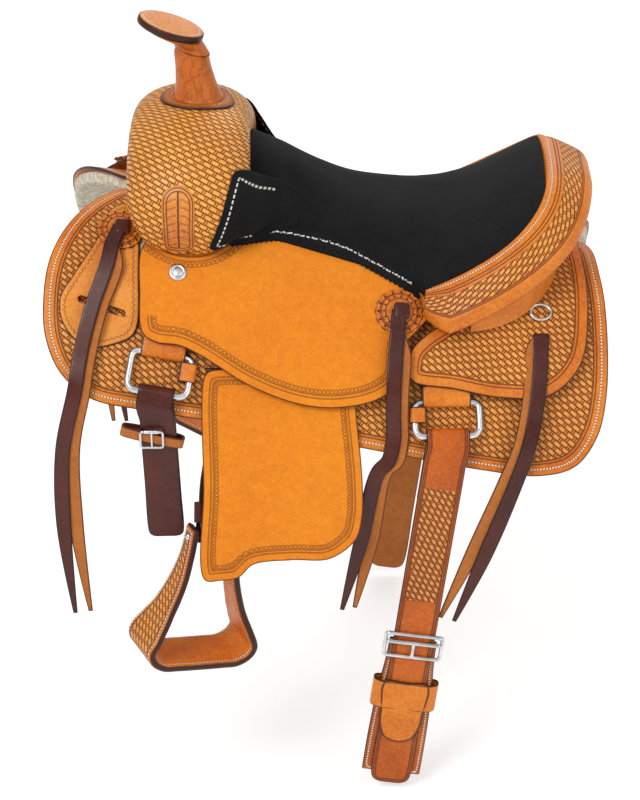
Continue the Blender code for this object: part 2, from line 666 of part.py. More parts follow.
def slot_cutter(side, word):
    """Slot with round ends through the keeper plate."""
    (x0, d0), (x1, d1) = SLOT_ENDS
    along = np.array([x1 - x0, d1 - d0])
    along /= np.linalg.norm(along)
    square = np.array([-along[1], along[0]])
    outline = []
    for (x, d), start in (((x1, d1), -pi / 2), ((x0, d0), pi / 2)):
        for t in np.linspace(start, start + pi, 7):
            p = np.array([x, d]) + SLOT_HALF_HEIGHT * (cos(t) * along + sin(t) * square)
            outline.append(p)
    outline = np.array(outline)
    rings = [on_barrel(outline[:, 0], outline[:, 1], lift, side) for lift in (-0.004, 0.030)]
    return loft(f"slot_{word}", rings, "wood")


def side_frame(x, depth, lift, side):
    """Place on the barrel with its rearward, downward and outward directions."""
    p = on_barrel(x, depth, lift, side)
    down = on_barrel(x, depth + 0.002, lift, side) - on_barrel(x, depth - 0.002, lift, side)
    down /= np.linalg.norm(down)
    rear = np.array([1, 0, -RIDGE_FALL])
    rear = rear - rear @ down * down
    rear /= np.linalg.norm(rear)
    outward = np.cross(rear, down) * (1 if side == NEAR else -1)
    outward *= np.sign(outward[1] * side)
    return p, rear, down, outward


def ring_frame(x, top, turn, side):
    """Frame at the middle of a ring's top bar, turned in the plane of the leather."""
    p, rear, down, outward = side_frame(x, top, RING_TOP_LIFT, side)
    return p, rear * cos(turn) + down * sin(turn), down * cos(turn) - rear * sin(turn), outward


def ring_path(frame, half, drop):
    """Ring with straight bars above and below and round corners."""
    p, rear, down, outward = frame
    tilt = (RING_BOTTOM_LIFT - RING_TOP_LIFT) / drop
    shape = []
    for a, b, start in ((-1, 0, 1.0), (1, 0, 1.5), (1, 1, 0.0), (-1, 1, 0.5)):
        corner = RING_CORNER if b == 0 else RING_CORNER * 1.3
        middle = np.array([a * (half - corner), corner if b == 0 else drop - corner])
        for t in np.linspace(start, start + 0.5, 4) * pi:
            shape.append(middle + corner * np.array([cos(t), sin(t)]))
    return [p + rear * a + down * b + outward * b * tilt for a, b in shape]


def box_in_frame(name, frame, reach, finish):
    """Box given by its reach along the three directions of a side frame."""
    p, rear, down, outward = frame
    corners = [[p + rear * a + down * b + outward * c for b, c in
                ((reach[1][0], reach[2][0]), (reach[1][1], reach[2][0]),
                 (reach[1][1], reach[2][1]), (reach[1][0], reach[2][1]))] for a in reach[0]]
    return loft(name, corners, finish, smooth=False)


def make_rigging(side, word):
    """Two rings and the leathers that hold each by its top bar and one side."""
    for end, place, half, drop, wrap_side in (
            ("front", (FRONT_RING_X, FRONT_RING_TOP, FRONT_RING_TURN), FRONT_RING_HALF,
             FRONT_RING_DROP, 1),
            ("rear", (REAR_RING_X, REAR_RING_TOP, REAR_RING_TURN), REAR_RING_HALF,
             REAR_RING_DROP, -1)):
        frame = ring_frame(*place, side)
        path = ring_path(frame, half, drop)
        round_bar(f"{word}_{end}_ring", path, RING_WIRE, "stainless", closed=True, hint=frame[3])
        wrap = RING_WIRE + 0.0012
        body = box_in_frame(f"{word}_{end}_rigging", frame,
                            ((-half + 0.010, half - 0.010), (-0.022, wrap), (-wrap, wrap)),
                            "tooled_leather")
        a = wrap_side * half
        sides = sorted((a - wrap_side * 0.0065, a + wrap_side * 0.0065))
        holder = box_in_frame(f"{word}_{end}_holder", frame,
                              (sides, (0.0125, drop * 0.62), (-wrap + 0.0003, wrap + 0.0053)), "wood")
        bridge = sorted((a - wrap_side * 0.018, a + wrap_side * 0.0060))
        link = box_in_frame(f"{word}_{end}_link", frame,
                            (bridge, (-0.0211, 0.0155), (-wrap + 0.0006, -wrap + 0.0028)), "wood")
        bore = round_bar(f"{word}_{end}_ring_bore", path, RING_WIRE + GAP + 0.0002, "wood",
                         closed=True, hint=frame[3])
        boolean(body, holder, "UNION")
        boolean(body, link, "UNION")
        boolean(body, bore)


def fender_frame(side):
    """Plane that touches the skirt, with a point at the pivot and its directions."""
    touch, rear, down, outward = side_frame(PIVOT_X, FENDER_TOUCH_DEPTH, SKIRT_OUT + GAP, side)
    start = touch - down * ((FENDER_TOUCH_DEPTH - PIVOT_DEPTH) * 1.10)
    return start, rear, down, outward


def make_fender(side, word):
    """Fender, stirrup leather, bolt and stirrup."""
    start, rear, down, outward = fender_frame(side)
    lift = STRAP_LEATHER + 2 * GAP

    def place(x, b, face):
        x, b = np.asarray(x)[:, None], np.asarray(b)[:, None]
        return start + rear * (x - PIVOT_X) + down * b + outward * (lift + face * FENDER_LEATHER)

    points, faces = sheet_mesh(smooth_through(FENDER_OUTLINE, spans=2), [], place)
    hang_from(add_mesh(f"{word}_fender", points, faces, "roughout_leather"), start)
    turned = outward * sin(STIRRUP_TURN) - rear * cos(STIRRUP_TURN)
    deep = outward * cos(STIRRUP_TURN) + rear * sin(STIRRUP_TURN)
    bolt = start + rear * (BOLT_X - PIVOT_X) + down * BOLT_DOWN - outward * BOLT_INSET
    lay = STRAP_LEATHER / 2 + GAP
    path, wide = [], []
    for b in (0.0, 0.045, 0.086, 0.105, 0.125, 0.145, BOLT_DOWN - 0.045):
        t = np.clip((b - 0.086) / (BOLT_DOWN - 0.131), 0, 1)
        ease = t * t * (3 - 2 * t)
        flat = start + rear * (BOLT_X + 0.012 - PIVOT_X) + down * b + outward * lay
        path.append(flat * (1 - ease) + (bolt - down * (BOLT_DOWN - b) + deep * lay * 1.2) * ease)
        wide.append(turned * ease - rear * (1 - ease))
    loop = BOLT_RADIUS + GAP + STRAP_LEATHER / 2
    path += [bolt - down * 0.026 + deep * lay * 1.2, bolt - down * 0.008 + deep * loop * 0.96]
    path += [bolt + loop * (cos(t) * deep + sin(t) * down) for t in np.linspace(0.1, pi - 0.1, 7)]
    path += [bolt - down * 0.008 - deep * loop * 0.96, bolt - down * 0.026 - deep * lay * 1.2,
             bolt - down * 0.040 - deep * lay * 1.2]
    wide += [turned] * (len(path) - len(wide))
    hang_from(strap(f"{word}_stirrup_leather", path, wide, STIRRUP_LEATHER_WIDTH, STRAP_LEATHER,
                    "dark_latigo"), start)
    half = BOLT_LENGTH / 2
    hang_from(round_bar(f"{word}_stirrup_bolt", [bolt - turned * half, bolt + turned * half],
                        BOLT_RADIUS, "stainless", sides=12, hint=down), bolt)
    fall = np.array([0, 0, -1]) + turned[2] * turned
    fall /= np.linalg.norm(fall)
    make_stirrup(word, bolt, turned, fall, np.cross(turned, fall))


def make_stirrup(word, bolt, turned, down, deep):
    """Leather-covered stirrup: two branches that widen into the tread."""
    h, a, b = STIRRUP_HEIGHT, STIRRUP_HALF_TOP, STIRRUP_HALF_BOTTOM
    half = [(a, -0.014), (a + 0.0005, 0.020), (a + 0.006, 0.060), (a + 0.020, 0.103),
            (b - 0.008, 0.130), (b, 0.149), (b - 0.005, h - 0.010), (b - 0.020, h - 0.001),
            (b - 0.040, h)]
    shape = smooth_through(half + [(-p, q) for p, q in half[::-1]], spans=2, closed=False)
    path = [bolt + turned * p + down * q for p, q in shape]
    widths = np.interp(shape[:, 1], [-0.014, 0.03, 0.10, 0.136, h],
                       [BRANCH_TOP_DEPTH, BRANCH_TOP_DEPTH + 0.006, 0.050, TREAD_DEPTH, TREAD_DEPTH])
    body = strap(f"{word}_stirrup", path, deep, widths, STIRRUP_THICK, "tooled_leather", corner=0.5)
    hang_from(body, bolt)
    hole = round_bar(f"{word}_bolt_hole", [bolt + turned * r for r in (-0.05, 0.05)],
                     BOLT_RADIUS + GAP, "wood", sides=12, hint=down)
    boolean(body, hole)


def ring_bottom(x, top, turn, drop, side):
    """Middle of the bar at the bottom of a ring, and the direction of the bar."""
    p, rear, down, outward = ring_frame(x, top, turn, side)
    return p + down * drop + outward * (RING_BOTTOM_LIFT - RING_TOP_LIFT), rear


def hang(centre, side, drop, out, follow, lean=0.0):
    """Point on a strap that follows the skirt at first and then hangs."""
    away = SKIRT_SLOPE * min(max(drop, 0.0), follow) + out
    return centre + np.array([-lean * drop, side * away, -drop])


def folded_strap(name, centre, bar, side, tail, drops, follow, lean, width, tip, finish):
    """Strap folded over the bottom bar of a ring, with its tail behind it."""
    fold = RING_WIRE + 4 * GAP + STRAP_LEATHER / 2
    out, up = np.array([0, side, 0]), np.array([0, 0, 1])
    out = out - out @ bar * bar
    up = up - up @ bar * bar
    path = [hang(centre, side, d, -LAY, follow, lean) for d in (tail, 0.032)]
    path += [centre - out * (fold * 0.85 - SKIRT_SLOPE * 0.010) - up * 0.010]
    path += [centre - fold * (out * cos(t) - up * sin(t)) for t in np.linspace(0.05, 0.95, 7) * pi]
    path += [centre + out * (fold * 0.95 + SKIRT_SLOPE * 0.010) - up * 0.010]
    path += [hang(centre, side, d, LAY, follow, lean) for d in (0.032,) + drops]
    widths = [width] * len(path) + [width * share for share in (0.80, 0.45)]
    path += [hang(centre, side, drops[-1] + d, LAY, follow, lean) for d in (tip * 0.7, tip)]
    level = np.clip([(centre[2] - p[2] - 0.012) / 0.060 for p in path], 0, 1)[:, None]
    across = bar * (1 - level) + np.array([1, 0, -lean]) * level
    piece = strap(name, path, across, widths, STRAP_LEATHER, finish)
    hang_from(piece, centre)


def make_latigo(side, word):
    """Latigo on the near side and the shorter billet on the off side."""
    centre, bar = ring_bottom(FRONT_RING_X, FRONT_RING_TOP, FRONT_RING_TURN, FRONT_RING_DROP, side)
    name = "near_latigo" if side == NEAR else "off_billet"
    folded_strap(name, centre, bar, side, LATIGO_DROP - 0.020, (0.070, 0.120, LATIGO_DROP - 0.008),
                 0.020, -0.04, LATIGO_WIDTH, 0.008, "dark_latigo")
    return centre


def make_hobble(centre):
    """Hobble strap looped loosely round the latigo, and its roller buckle."""
    middle = hang(centre, NEAR, 0.055, 0.0, 0.020, -0.04) + (-0.008, 0, 0)
    wide, deep = 0.038, LAY + STRAP_LEATHER / 2 + 0.0041
    path = []
    for t in np.linspace(0, 2 * pi, 24, endpoint=False):
        y = deep * np.sign(sin(t)) * abs(sin(t)) ** 0.4
        path.append(middle + np.array([wide * cos(t), y, -0.009 * cos(t)]))
    hobble = strap("hobble_strap", path, (0.25, 0, 1), HOBBLE_WIDTH, 0.0028, "dark_latigo",
                   closed=True)
    hang_from(hobble, centre)
    out = NEAR * (deep + 0.0034)
    corners = [(-0.014, 0.011), (0.014, 0.011), (0.014, -0.011), (-0.014, -0.011)]
    frame = [middle + np.array([a, out, b]) for a, b in corners]
    path = []
    for i, p in enumerate(frame):
        q = frame[(i + 1) % 4]
        path += [p + (q - p) * 0.12, p + (q - p) * 0.88]
    buckle = round_bar("hobble_buckle", path, 0.0017, "stainless", closed=True, sides=6,
                       hint=(0, 1, 0))
    hang_from(buckle, centre)


def billet_place(centre, side, down, out):
    """Point on the line of the flank billet, which leans forward as it hangs."""
    return hang(centre, side, down, out, 0.036, BILLET_LEAN)


def make_flank(side, word):
    """Flank billet; on the near side also its buckle and the end of the flank cinch."""
    centre, bar = ring_bottom(REAR_RING_X, REAR_RING_TOP, REAR_RING_TURN, REAR_RING_DROP, side)
    folded_strap(f"{word}_flank_billet", centre, bar, side, 0.085,
                 (0.042, 0.10, 0.20, 0.30, 0.42, BILLET_LENGTH - 0.018), 0.036, BILLET_LEAN,
                 BILLET_WIDTH, 0.018, "tooled_leather")
    if side == OFF:
        return
    ahead = np.array([-BILLET_LEAN, 0, -1]) / np.hypot(BILLET_LEAN, 1)
    across = np.array([1, 0, -BILLET_LEAN]) / np.hypot(BILLET_LEAN, 1)
    middle = billet_place(centre, side, BUCKLE_DOWN, LAY)
    out = np.array([0, side, 0])
    w, h = BUCKLE_WIDTH / 2, BUCKLE_HEIGHT / 2
    front = STRAP_LEATHER / 2 + 0.0025
    frame = [middle + across * a + ahead * b + out * c for a, b, c in
             ((-w + 0.003, -h, front), (w - 0.003, -h, front), (w, -h + 0.004, 0.002),
              (w, h - 0.004, 0.002), (w - 0.003, h, front), (-w + 0.003, h, front),
              (-w, h - 0.004, 0.002), (-w, -h + 0.004, 0.002))]
    buckle = round_bar("flank_buckle", frame, 0.0021, "stainless", closed=True,
                       hint=(0, 1, 0))
    hang_from(buckle, centre)
    back = LAY - STRAP_LEATHER / 2 - GAP
    top = BUCKLE_DOWN - 0.004
    path = [billet_place(centre, side, d, back - CINCH_THICK / 2) for d in
            (top, top + 0.030, top + 0.094, top + 0.160, BILLET_LENGTH - 0.014)]
    cinch = strap("flank_cinch_end", path, across, [0.062, 0.064, 0.074, CINCH_WIDTH, CINCH_WIDTH],
                  CINCH_THICK, "tooled_leather")
    hang_from(cinch, centre)
    make_keeper(centre, side, across, ahead, back)


def make_keeper(centre, side, across, ahead, back):
    """Leather keeper round the billet and the cinch end, with a rounded tongue."""
    out = np.array([0, side, 0])
    middle = billet_place(centre, side, KEEPER_DOWN, back)
    w = CINCH_WIDTH / 2 - 0.001
    front = STRAP_LEATHER + 2 * GAP
    behind = -CINCH_THICK - GAP
    t = 0.003
    half = BILLET_WIDTH / 2 + 0.002
    rings = []
    length = KEEPER_LENGTH
    for b in (0.0, length * 0.45):
        section = [(-w - t, behind - t), (-w - t, front * 0.2), (-half - 0.002, front + t),
                   (half + 0.002, front + t), (w + t, front * 0.2), (w + t, behind - t)]
        rings.append([middle + across * a + ahead * b + out * c for a, c in section])
    keeper = loft("flank_keeper", rings, "tooled_leather", smooth=False)
    tongue = []
    for b, share in ((length * 0.40, 1.0), (length * 0.7, 0.98), (length * 0.88, 0.78), (length, 0.36)):
        tongue.append([middle + across * half * share * a + ahead * b + out * c for a, c in
                       ((-1, front), (-1, front + t), (1, front + t), (1, front))])
    flap = loft("keeper_tongue", tongue, "wood", smooth=False)
    hollow = []
    for b in (-0.01, length * 0.45 + 0.0001):
        section = [(-w - 2 * GAP, behind), (-w - 2 * GAP, 0.0006), (-half, front), (half, front),
                   (w + 2 * GAP, 0.0006), (w + 2 * GAP, behind)]
        hollow.append([middle + across * a + ahead * b + out * c for a, c in section])
    hollow[1] = [p + ahead * 0.01 for p in hollow[1]]
    hang_from(keeper, centre)
    boolean(keeper, loft("keeper_hollow", hollow, "wood", smooth=False))
    boolean(keeper, flap, "UNION")


def make_rosette(name, place, lift, side):
    """Two scalloped rounds of leather, the smaller on the larger."""
    p, rear, down, outward = side_frame(*place, lift, side)
    turns = np.linspace(0, 2 * pi, ROSETTE_SCALLOPS * 2, endpoint=False)
    wave = 1 + 0.035 * np.cos(turns * ROSETTE_SCALLOPS)
    rings = []
    for share, rise in ((1.0, 0.0), (1.0, 0.0024), (0.80, 0.0026), (0.78, ROSETTE_THICK)):
        r = ROSETTE_RADIUS * share * wave
        rings.append([p + rear * (a * cos(t)) + down * (a * sin(t)) + outward * rise
                      for a, t in zip(r, turns)])
    loft(name, rings, "tooled_leather", smooth=False)


def make_screw(side, word):
    """Oval-head screw in its cup washer."""
    p, rear, down, outward = side_frame(*JOCKEY_SCREW, SEAT_JOCKEY_OUT + GAP, side)
    turns = np.linspace(0, 2 * pi, 14, endpoint=False)
    rings = [[p + (rear * cos(t) + down * sin(t)) * SCREW_RADIUS * r + outward * h for t in turns]
             for r, h in ((1, 0), (0.92, 0.0022), (0.62, 0.0028), (0.50, 0.0026), (0.30, 0.0034))]
    loft(f"{word}_jockey_screw", rings, "stainless")


def make_string(name, start, reach, route, lift, side):
    """Pair of saddle strings that leave their knot, lie over the leathers and hang free."""
    on_side, free = route
    frame = side_frame(*start, lift(start[1]), side)
    p, rear, down, outward = frame
    heading = rear * (on_side[0][0] - start[0]) + down * (on_side[0][1] - start[1]) * 1.4
    heading /= np.linalg.norm(heading)
    strands = []
    for shift, stand, cut, word in ((0.0, STRING_LEATHER + 2 * GAP, 0.0, name),
                                    (0.010, 0.0, 0.004, f"{name}_under")):
        path = [p + heading * reach * k + outward * stand for k in (0.0, 0.5, 1.0)]
        path += [on_barrel(x + shift, d, lift(d) + stand, side) for x, d in on_side]
        last = path[-1]
        for x, drop in free:
            path.append(np.array([x + shift * (1 + drop * 3), last[1] + side * (0.004 + drop * 0.02),
                                  last[2] - drop + cut]))
        path = smooth_through(path, 2, closed=False)
        widths = np.full(len(path), STRING_WIDTH)
        widths[-1] *= 0.35
        strands.append(strap(word, path, (1, 0, 0), widths, STRING_LEATHER, "dark_latigo"))
    knot = box_in_frame(f"{name}_knot", frame,
                        ((-0.0071, 0.0131), (-0.0103, 0.0121), (-0.0006, STRING_LEATHER * 2.6)), "wood")
    boolean(strands[0], strands[1], "UNION")
    boolean(strands[0], knot, "UNION")


def make_strings(side, word):
    over_rosette = ROSETTE_THICK + 4 * GAP + STRING_LEATHER / 2

    def front(depth):
        return plate_lift(depth) + PLATE_LEATHER + over_rosette

    def middle(depth):
        t = np.clip((depth - 0.150) / 0.050, 0, 1)
        low = SKIRT_OUT + 0.0016 + STRING_LEATHER / 2
        return SEAT_JOCKEY_OUT + over_rosette - (SEAT_JOCKEY_OUT + over_rosette - low) * t

    def rear(depth):
        return rear_jockey_lift(depth) + JOCKEY_LEATHER - 3.5 * GAP + STRING_LEATHER / 2

    make_string(f"{word}_front_strings", FRONT_ROSETTE, ROSETTE_RADIUS, FRONT_STRING, front, side)
    make_string(f"{word}_middle_strings", MIDDLE_ROSETTE, ROSETTE_RADIUS, MIDDLE_STRING, middle, side)
    below_dee = (STRING_DEE[0], STRING_DEE[1] + DEE_RADIUS + 0.006)
    make_string(f"{word}_rear_strings", below_dee, 0.004, REAR_STRING, rear, side)
    p, along, down, outward = side_frame(*STRING_DEE, REAR_JOCKEY_OUT + 0.0020, side)
    path = [p + along * DEE_RADIUS * cos(t) + down * DEE_RADIUS * 0.8 * sin(t) for t in
            np.linspace(0, 2 * pi, 14, endpoint=False)]
    round_bar(f"{word}_string_dee", path, 0.0019, "stainless", closed=True, sides=6, hint=outward)


def make_side(side, word):
    skirt = smooth_through(SKIRT_OUTLINE, spans=2)
    barrel_sheet(f"{word}_skirt", skirt, 0.0, SKIRT_LEATHER, side, "tooled_leather")
    middle = skirt.mean(axis=0)
    fleece = middle + (skirt - middle) * (0.993, 0.985)
    fleece[:, 1] = np.maximum(fleece[:, 1], 0.0012)
    barrel_sheet(f"{word}_fleece", fleece, -GAP - FLEECE, FLEECE, side, "fleece")
    barrel_sheet(f"{word}_rear_jockey", smooth_through(REAR_JOCKEY_OUTLINE, 2), rear_jockey_lift,
                 JOCKEY_LEATHER, side, "tooled_leather")
    barrel_sheet(f"{word}_seat_jockey", smooth_through(SEAT_JOCKEY_OUTLINE, 2), SEAT_JOCKEY_IN,
                 JOCKEY_LEATHER, side, "roughout_leather")
    plate = barrel_sheet(f"{word}_front_plate", smooth_through(PLATE_OUTLINE, 2), plate_lift,
                         PLATE_LEATHER, side, "tooled_leather")
    boolean(plate, slot_cutter(side, word))
    make_rigging(side, word)
    make_fender(side, word)
    make_rosette(f"{word}_front_rosette", FRONT_ROSETTE, REAR_JOCKEY_IN + PLATE_LEATHER + 0.0003, side)
    make_rosette(f"{word}_middle_rosette", MIDDLE_ROSETTE, SEAT_JOCKEY_OUT + 0.0003, side)
    make_screw(side, word)
    make_strings(side, word)
    centre = make_latigo(side, word)
    if side == NEAR:
        make_hobble(centre)
    make_flank(side, word)


def main():
    clear_scene()
    make_fork()
    make_horn()
    make_bars()
    make_seat()
    make_cantle()
    for side, word in ((NEAR, "near"), (OFF, "off")):
        make_side(side, word)


main()
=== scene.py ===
"""Western roping saddle: leather, suede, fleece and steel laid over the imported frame.

Metres. +X points to the rear of the saddle, -Y to the near (left) side and +Z up. A place on
the side of the saddle is given by x and by its depth below the ridge of the horse's back. Where
leather is cut out flat, the depth becomes the fall: the length down the curve of the barrel.
"""
from math import cos, pi, radians, sin

import bmesh
import bpy
import numpy as np
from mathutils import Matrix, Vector


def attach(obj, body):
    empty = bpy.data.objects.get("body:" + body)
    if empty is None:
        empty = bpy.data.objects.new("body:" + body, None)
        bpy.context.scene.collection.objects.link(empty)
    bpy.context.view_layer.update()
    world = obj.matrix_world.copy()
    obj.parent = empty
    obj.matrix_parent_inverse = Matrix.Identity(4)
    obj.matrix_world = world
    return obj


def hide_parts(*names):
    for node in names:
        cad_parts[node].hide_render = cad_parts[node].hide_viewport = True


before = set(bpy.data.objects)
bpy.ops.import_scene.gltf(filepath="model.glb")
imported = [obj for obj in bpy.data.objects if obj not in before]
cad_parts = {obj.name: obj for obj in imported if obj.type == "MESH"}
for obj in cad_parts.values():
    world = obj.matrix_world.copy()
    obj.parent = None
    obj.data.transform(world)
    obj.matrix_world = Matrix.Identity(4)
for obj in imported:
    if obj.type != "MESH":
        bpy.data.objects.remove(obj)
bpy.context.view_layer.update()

NEAR = -1
OFF = 1
SIDES = ((NEAR, "near"), (OFF, "off"))

# Photograph: camera round the saddle, its height, distance, what it looks at
CAMERA_TURN = radians(1)
CAMERA_RISE = radians(28)
CAMERA_DISTANCE = 3.2
CAMERA_TARGET = Vector((0, 0, -0.286))
CAMERA_LENS = 132.35
FLOOR_Z = -0.735

# Horse barrel: half an ellipse across, falling towards the rear
BARREL_HALF_WIDTH = 0.300
BARREL_DEPTH = 0.500
RIDGE_FALL = 0.11

# Leathers, and the clearance between layers
GAP = 0.0004
FLEECE = 0.015
SKIRT_LEATHER = 0.005
JOCKEY_LEATHER = 0.004
PLATE_LEATHER = 0.0035
FENDER_LEATHER = 0.004
STRAP_LEATHER = 0.0035
STRING_LEATHER = 0.0025
LAY = STRAP_LEATHER / 2 + GAP

# Lifts of the layers over the skirt
SKIRT_OUT = SKIRT_LEATHER
BAR_BOTTOM_DEPTH = 0.0735
REAR_JOCKEY_IN = 0.0158
REAR_JOCKEY_OUT = REAR_JOCKEY_IN + JOCKEY_LEATHER
SEAT_JOCKEY_IN = REAR_JOCKEY_OUT + GAP
SEAT_JOCKEY_OUT = SEAT_JOCKEY_IN + JOCKEY_LEATHER
RIGGING_THICK = 0.0115

# Fork, swell and horn
SWELL_X = -0.166
SWELL_HALF_LENGTH = 0.076
SWELL_HALF_WIDTH = 0.158
SWELL_TOP = 0.152
SWELL_LEATHER = 0.004
GULLET_RISE = 0.018
OPENING_SHARE = 0.86
HORN_BASE_X = -0.155
HORN_NECK_X = -0.162
HORN_BASE_RADIUS = 0.031
HORN_NECK_RADIUS = 0.0225
TONGUE_X = -0.1725
# Border round the swell's foot: centre and radius of its circle
SWELL_ARC = (-0.1665, 0.0629, 0.0741)
CAP_X = -0.186
CAP_Z = 0.248
CAP_LENGTH = 0.086
CAP_WIDTH = 0.073
CAP_THICK = 0.011
CAP_TILT = radians(18)
# Neck of the horn: its rise to the cap, and the height of its seam as a share of it
NECK_RISE = 0.055
NECK_SEAM = 1.13
COLLAR_RADIUS = 0.0458

# Seat and cantle
SEAT_THICK = 0.011
SEAT_FRONT_X = -0.088
# Suede's front corner: its rear edge, where it eases off the swell and over what length
EAR_REAR_X = -0.028
EAR_FRONT_X = -0.104
EAR_EASE = 0.058
RIM_REAR_X = 0.288
RIM_LENGTH = 0.153
RIM_HALF_WIDTH = 0.172
RIM_TUCK = 0.05
RIM_FALL = 0.60
RIM_TOP = 0.078
RIM_FRONT_Z = -0.0416
RIM_SQUARENESS = 0.42
ROLL_WIDTH_REAR = 0.066
ROLL_WIDTH_SIDE = 0.068
ROLL_SLOPE_REAR = radians(20)
ROLL_SLOPE_SIDE = radians(48)
ROLL_THICK = 0.013
ROLL_CROWN = 0.0040
ROLL_CHART_WIDTH = 0.067
ROLL_CHART_MIDDLE = 0.033

# Rigging rings: x, depth of the top bar, turn, half width, drop
RING_WIRE = 0.0045
RING_TOP_LIFT = 0.0110
RING_BOTTOM_LIFT = 0.0185
RINGS = {"front": (-0.1915, 0.136, radians(9), 0.0380, 0.050),
         "rear": (0.162, 0.155, radians(-2), 0.0405, 0.042)}
RING_CORNER = 0.0085

# Fender and stirrup
FENDER_TOUCH_DEPTH = 0.188
PIVOT_X = -0.105
PIVOT_DEPTH = 0.140
BOLT_X = -0.128
BOLT_DOWN = 0.212
BOLT_INSET = 0.022
BOLT_RADIUS = 0.005
BOLT_LENGTH = 0.078
STIRRUP_LEATHER_WIDTH = 0.044
STIRRUP_TURN = radians(27)
STIRRUP_HEIGHT = 0.171
STIRRUP_HALF_TOP = 0.031
STIRRUP_HALF_BOTTOM = 0.072
TREAD_DEPTH = 0.074
BRANCH_TOP_DEPTH = 0.024
STIRRUP_THICK = 0.010

# Straps that hang
LATIGO_WIDTH = 0.045
LATIGO_DROP = 0.200
BILLET_WIDTH = 0.054
BILLET_LENGTH = 0.522
BILLET_LEAN = 0.127
BUCKLE_DOWN = 0.300
BUCKLE_WIDTH = 0.074
BUCKLE_HEIGHT = 0.034
CINCH_WIDTH = 0.078
CINCH_THICK = 0.008
KEEPER_DOWN = 0.359
KEEPER_LENGTH = 0.094
STRING_WIDTH = 0.019
BILLET_PANEL = (0.184, 0.352)
SKIRT_SLOPE = 0.44

# Small parts
ROSETTE_RADIUS = 0.030
ROSETTE_SCALLOPS = 15
ROSETTE_TOP_RADIUS = ROSETTE_RADIUS * 0.76
ROSETTE_THICK = 0.0050
SCREW_RADIUS = 0.0115
DEE_RADIUS = 0.013

# Outlines as (x, depth below the ridge)
SKIRT_OUTLINE = [
    (-0.249, 0.0008), (-0.281, 0.005), (-0.315, 0.022), (-0.337, 0.053), (-0.343, 0.091),
    (-0.339, 0.131), (-0.320, 0.167), (-0.282, 0.192), (-0.220, 0.199), (-0.080, 0.206),
    (0.057, 0.216), (0.205, 0.227), (0.281, 0.227), (0.325, 0.212), (0.352, 0.177),
    (0.364, 0.132), (0.366, 0.062), (0.360, 0.021), (0.346, 0.003), (0.300, 0.0008),
    (0.240, 0.0012), (0.150, 0.012), (-0.050, 0.012), (-0.180, 0.004),
]
SKIRT_MIDLINE = [(-0.235, 0.085), (0.262, 0.095)]
REAR_JOCKEY_OUTLINE = [
    (0.122, 0.139), (0.170, 0.141), (0.229, 0.145), (0.292, 0.137), (0.330, 0.104), (0.341, 0.056),
    (0.336, 0.014), (0.322, 0.002), (0.285, 0.0015), (0.262, 0.004), (0.225, 0.030),
    (0.190, 0.058), (0.160, 0.077), (0.134, 0.092), (0.117, 0.108), (0.114, 0.132),
]
# Lower edge of the suede's flap, and its upper edge under the seat
FLAP_LINE = [(-0.1106, 0.0345), (-0.0906, 0.032), (-0.0706, 0.029), (-0.053, 0.027),
             (-0.0353, 0.027), (0.0, 0.029), (0.0177, 0.031), (0.0378, 0.034), (0.0755, 0.044),
             (0.103, 0.052), (0.127, 0.060)]
FLAP_TOP = [(-0.1106, 0.016), (-0.053, 0.010), (0.0177, 0.012), (0.0755, 0.022), (0.127, 0.040)]
SEAT_JOCKEY_OUTLINE = [
    (-0.222, 0.045), (-0.222, 0.080), (-0.217, 0.118), (-0.200, 0.126), (-0.171, 0.127),
    (-0.146, 0.134), (-0.083, 0.160), (-0.021, 0.174), (0.029, 0.173), (0.079, 0.159),
    (0.105, 0.138), (0.110, 0.104), (0.128, 0.086), (0.146, 0.068), (0.138, 0.048),
    (0.103, 0.032), (0.040, 0.020), (-0.024, 0.013), (-0.100, 0.018), (-0.160, 0.026),
    (-0.205, 0.030),
]
PLATE_OUTLINE = [
    (-0.263, 0.016), (-0.280, 0.040), (-0.305, 0.070), (-0.321, 0.092), (-0.319, 0.112),
    (-0.301, 0.131), (-0.280, 0.137), (-0.250, 0.130), (-0.231, 0.121), (-0.2235, 0.108),
    (-0.2235, 0.060), (-0.2275, 0.028), (-0.243, 0.012),
]
SLOT_ENDS = [(-0.294, 0.091), (-0.243, 0.100)]
SLOT_HALF_HEIGHT = 0.0045
FENDER_OUTLINE = [
    (-0.141, 0.012), (-0.134, 0.004), (-0.095, 0.001), (-0.050, 0.000), (0.000, 0.002),
    (0.036, 0.008), (0.045, 0.018), (0.050, 0.060), (0.058, 0.140), (0.058, 0.185),
    (0.050, 0.214), (0.018, 0.238), (-0.030, 0.240), (-0.078, 0.246), (-0.096, 0.262),
    (-0.118, 0.266), (-0.139, 0.265), (-0.141, 0.150),
]
FRONT_ROSETTE = (-0.249, 0.030)
MIDDLE_ROSETTE = (0.102, 0.074)
JOCKEY_SCREW = (-0.175, 0.060)
STRING_DEE = (0.280, 0.060)
FRONT_STRING = ([(-0.262, 0.060), (-0.280, 0.100), (-0.293, 0.145), (-0.300, 0.185)],
                [(-0.318, 0.080), (-0.322, 0.190), (-0.313, 0.320)])
MIDDLE_STRING = ([(0.098, 0.115), (0.096, 0.145), (0.0955, 0.175), (0.096, 0.202), (0.090, 0.227)],
                 [(0.077, 0.014), (0.056, 0.118), (0.033, 0.216)])
REAR_STRING = ([(0.280, 0.095), (0.276, 0.140), (0.266, 0.190)],
               [(0.250, 0.055), (0.214, 0.162), (0.178, 0.258)])


# Finishes


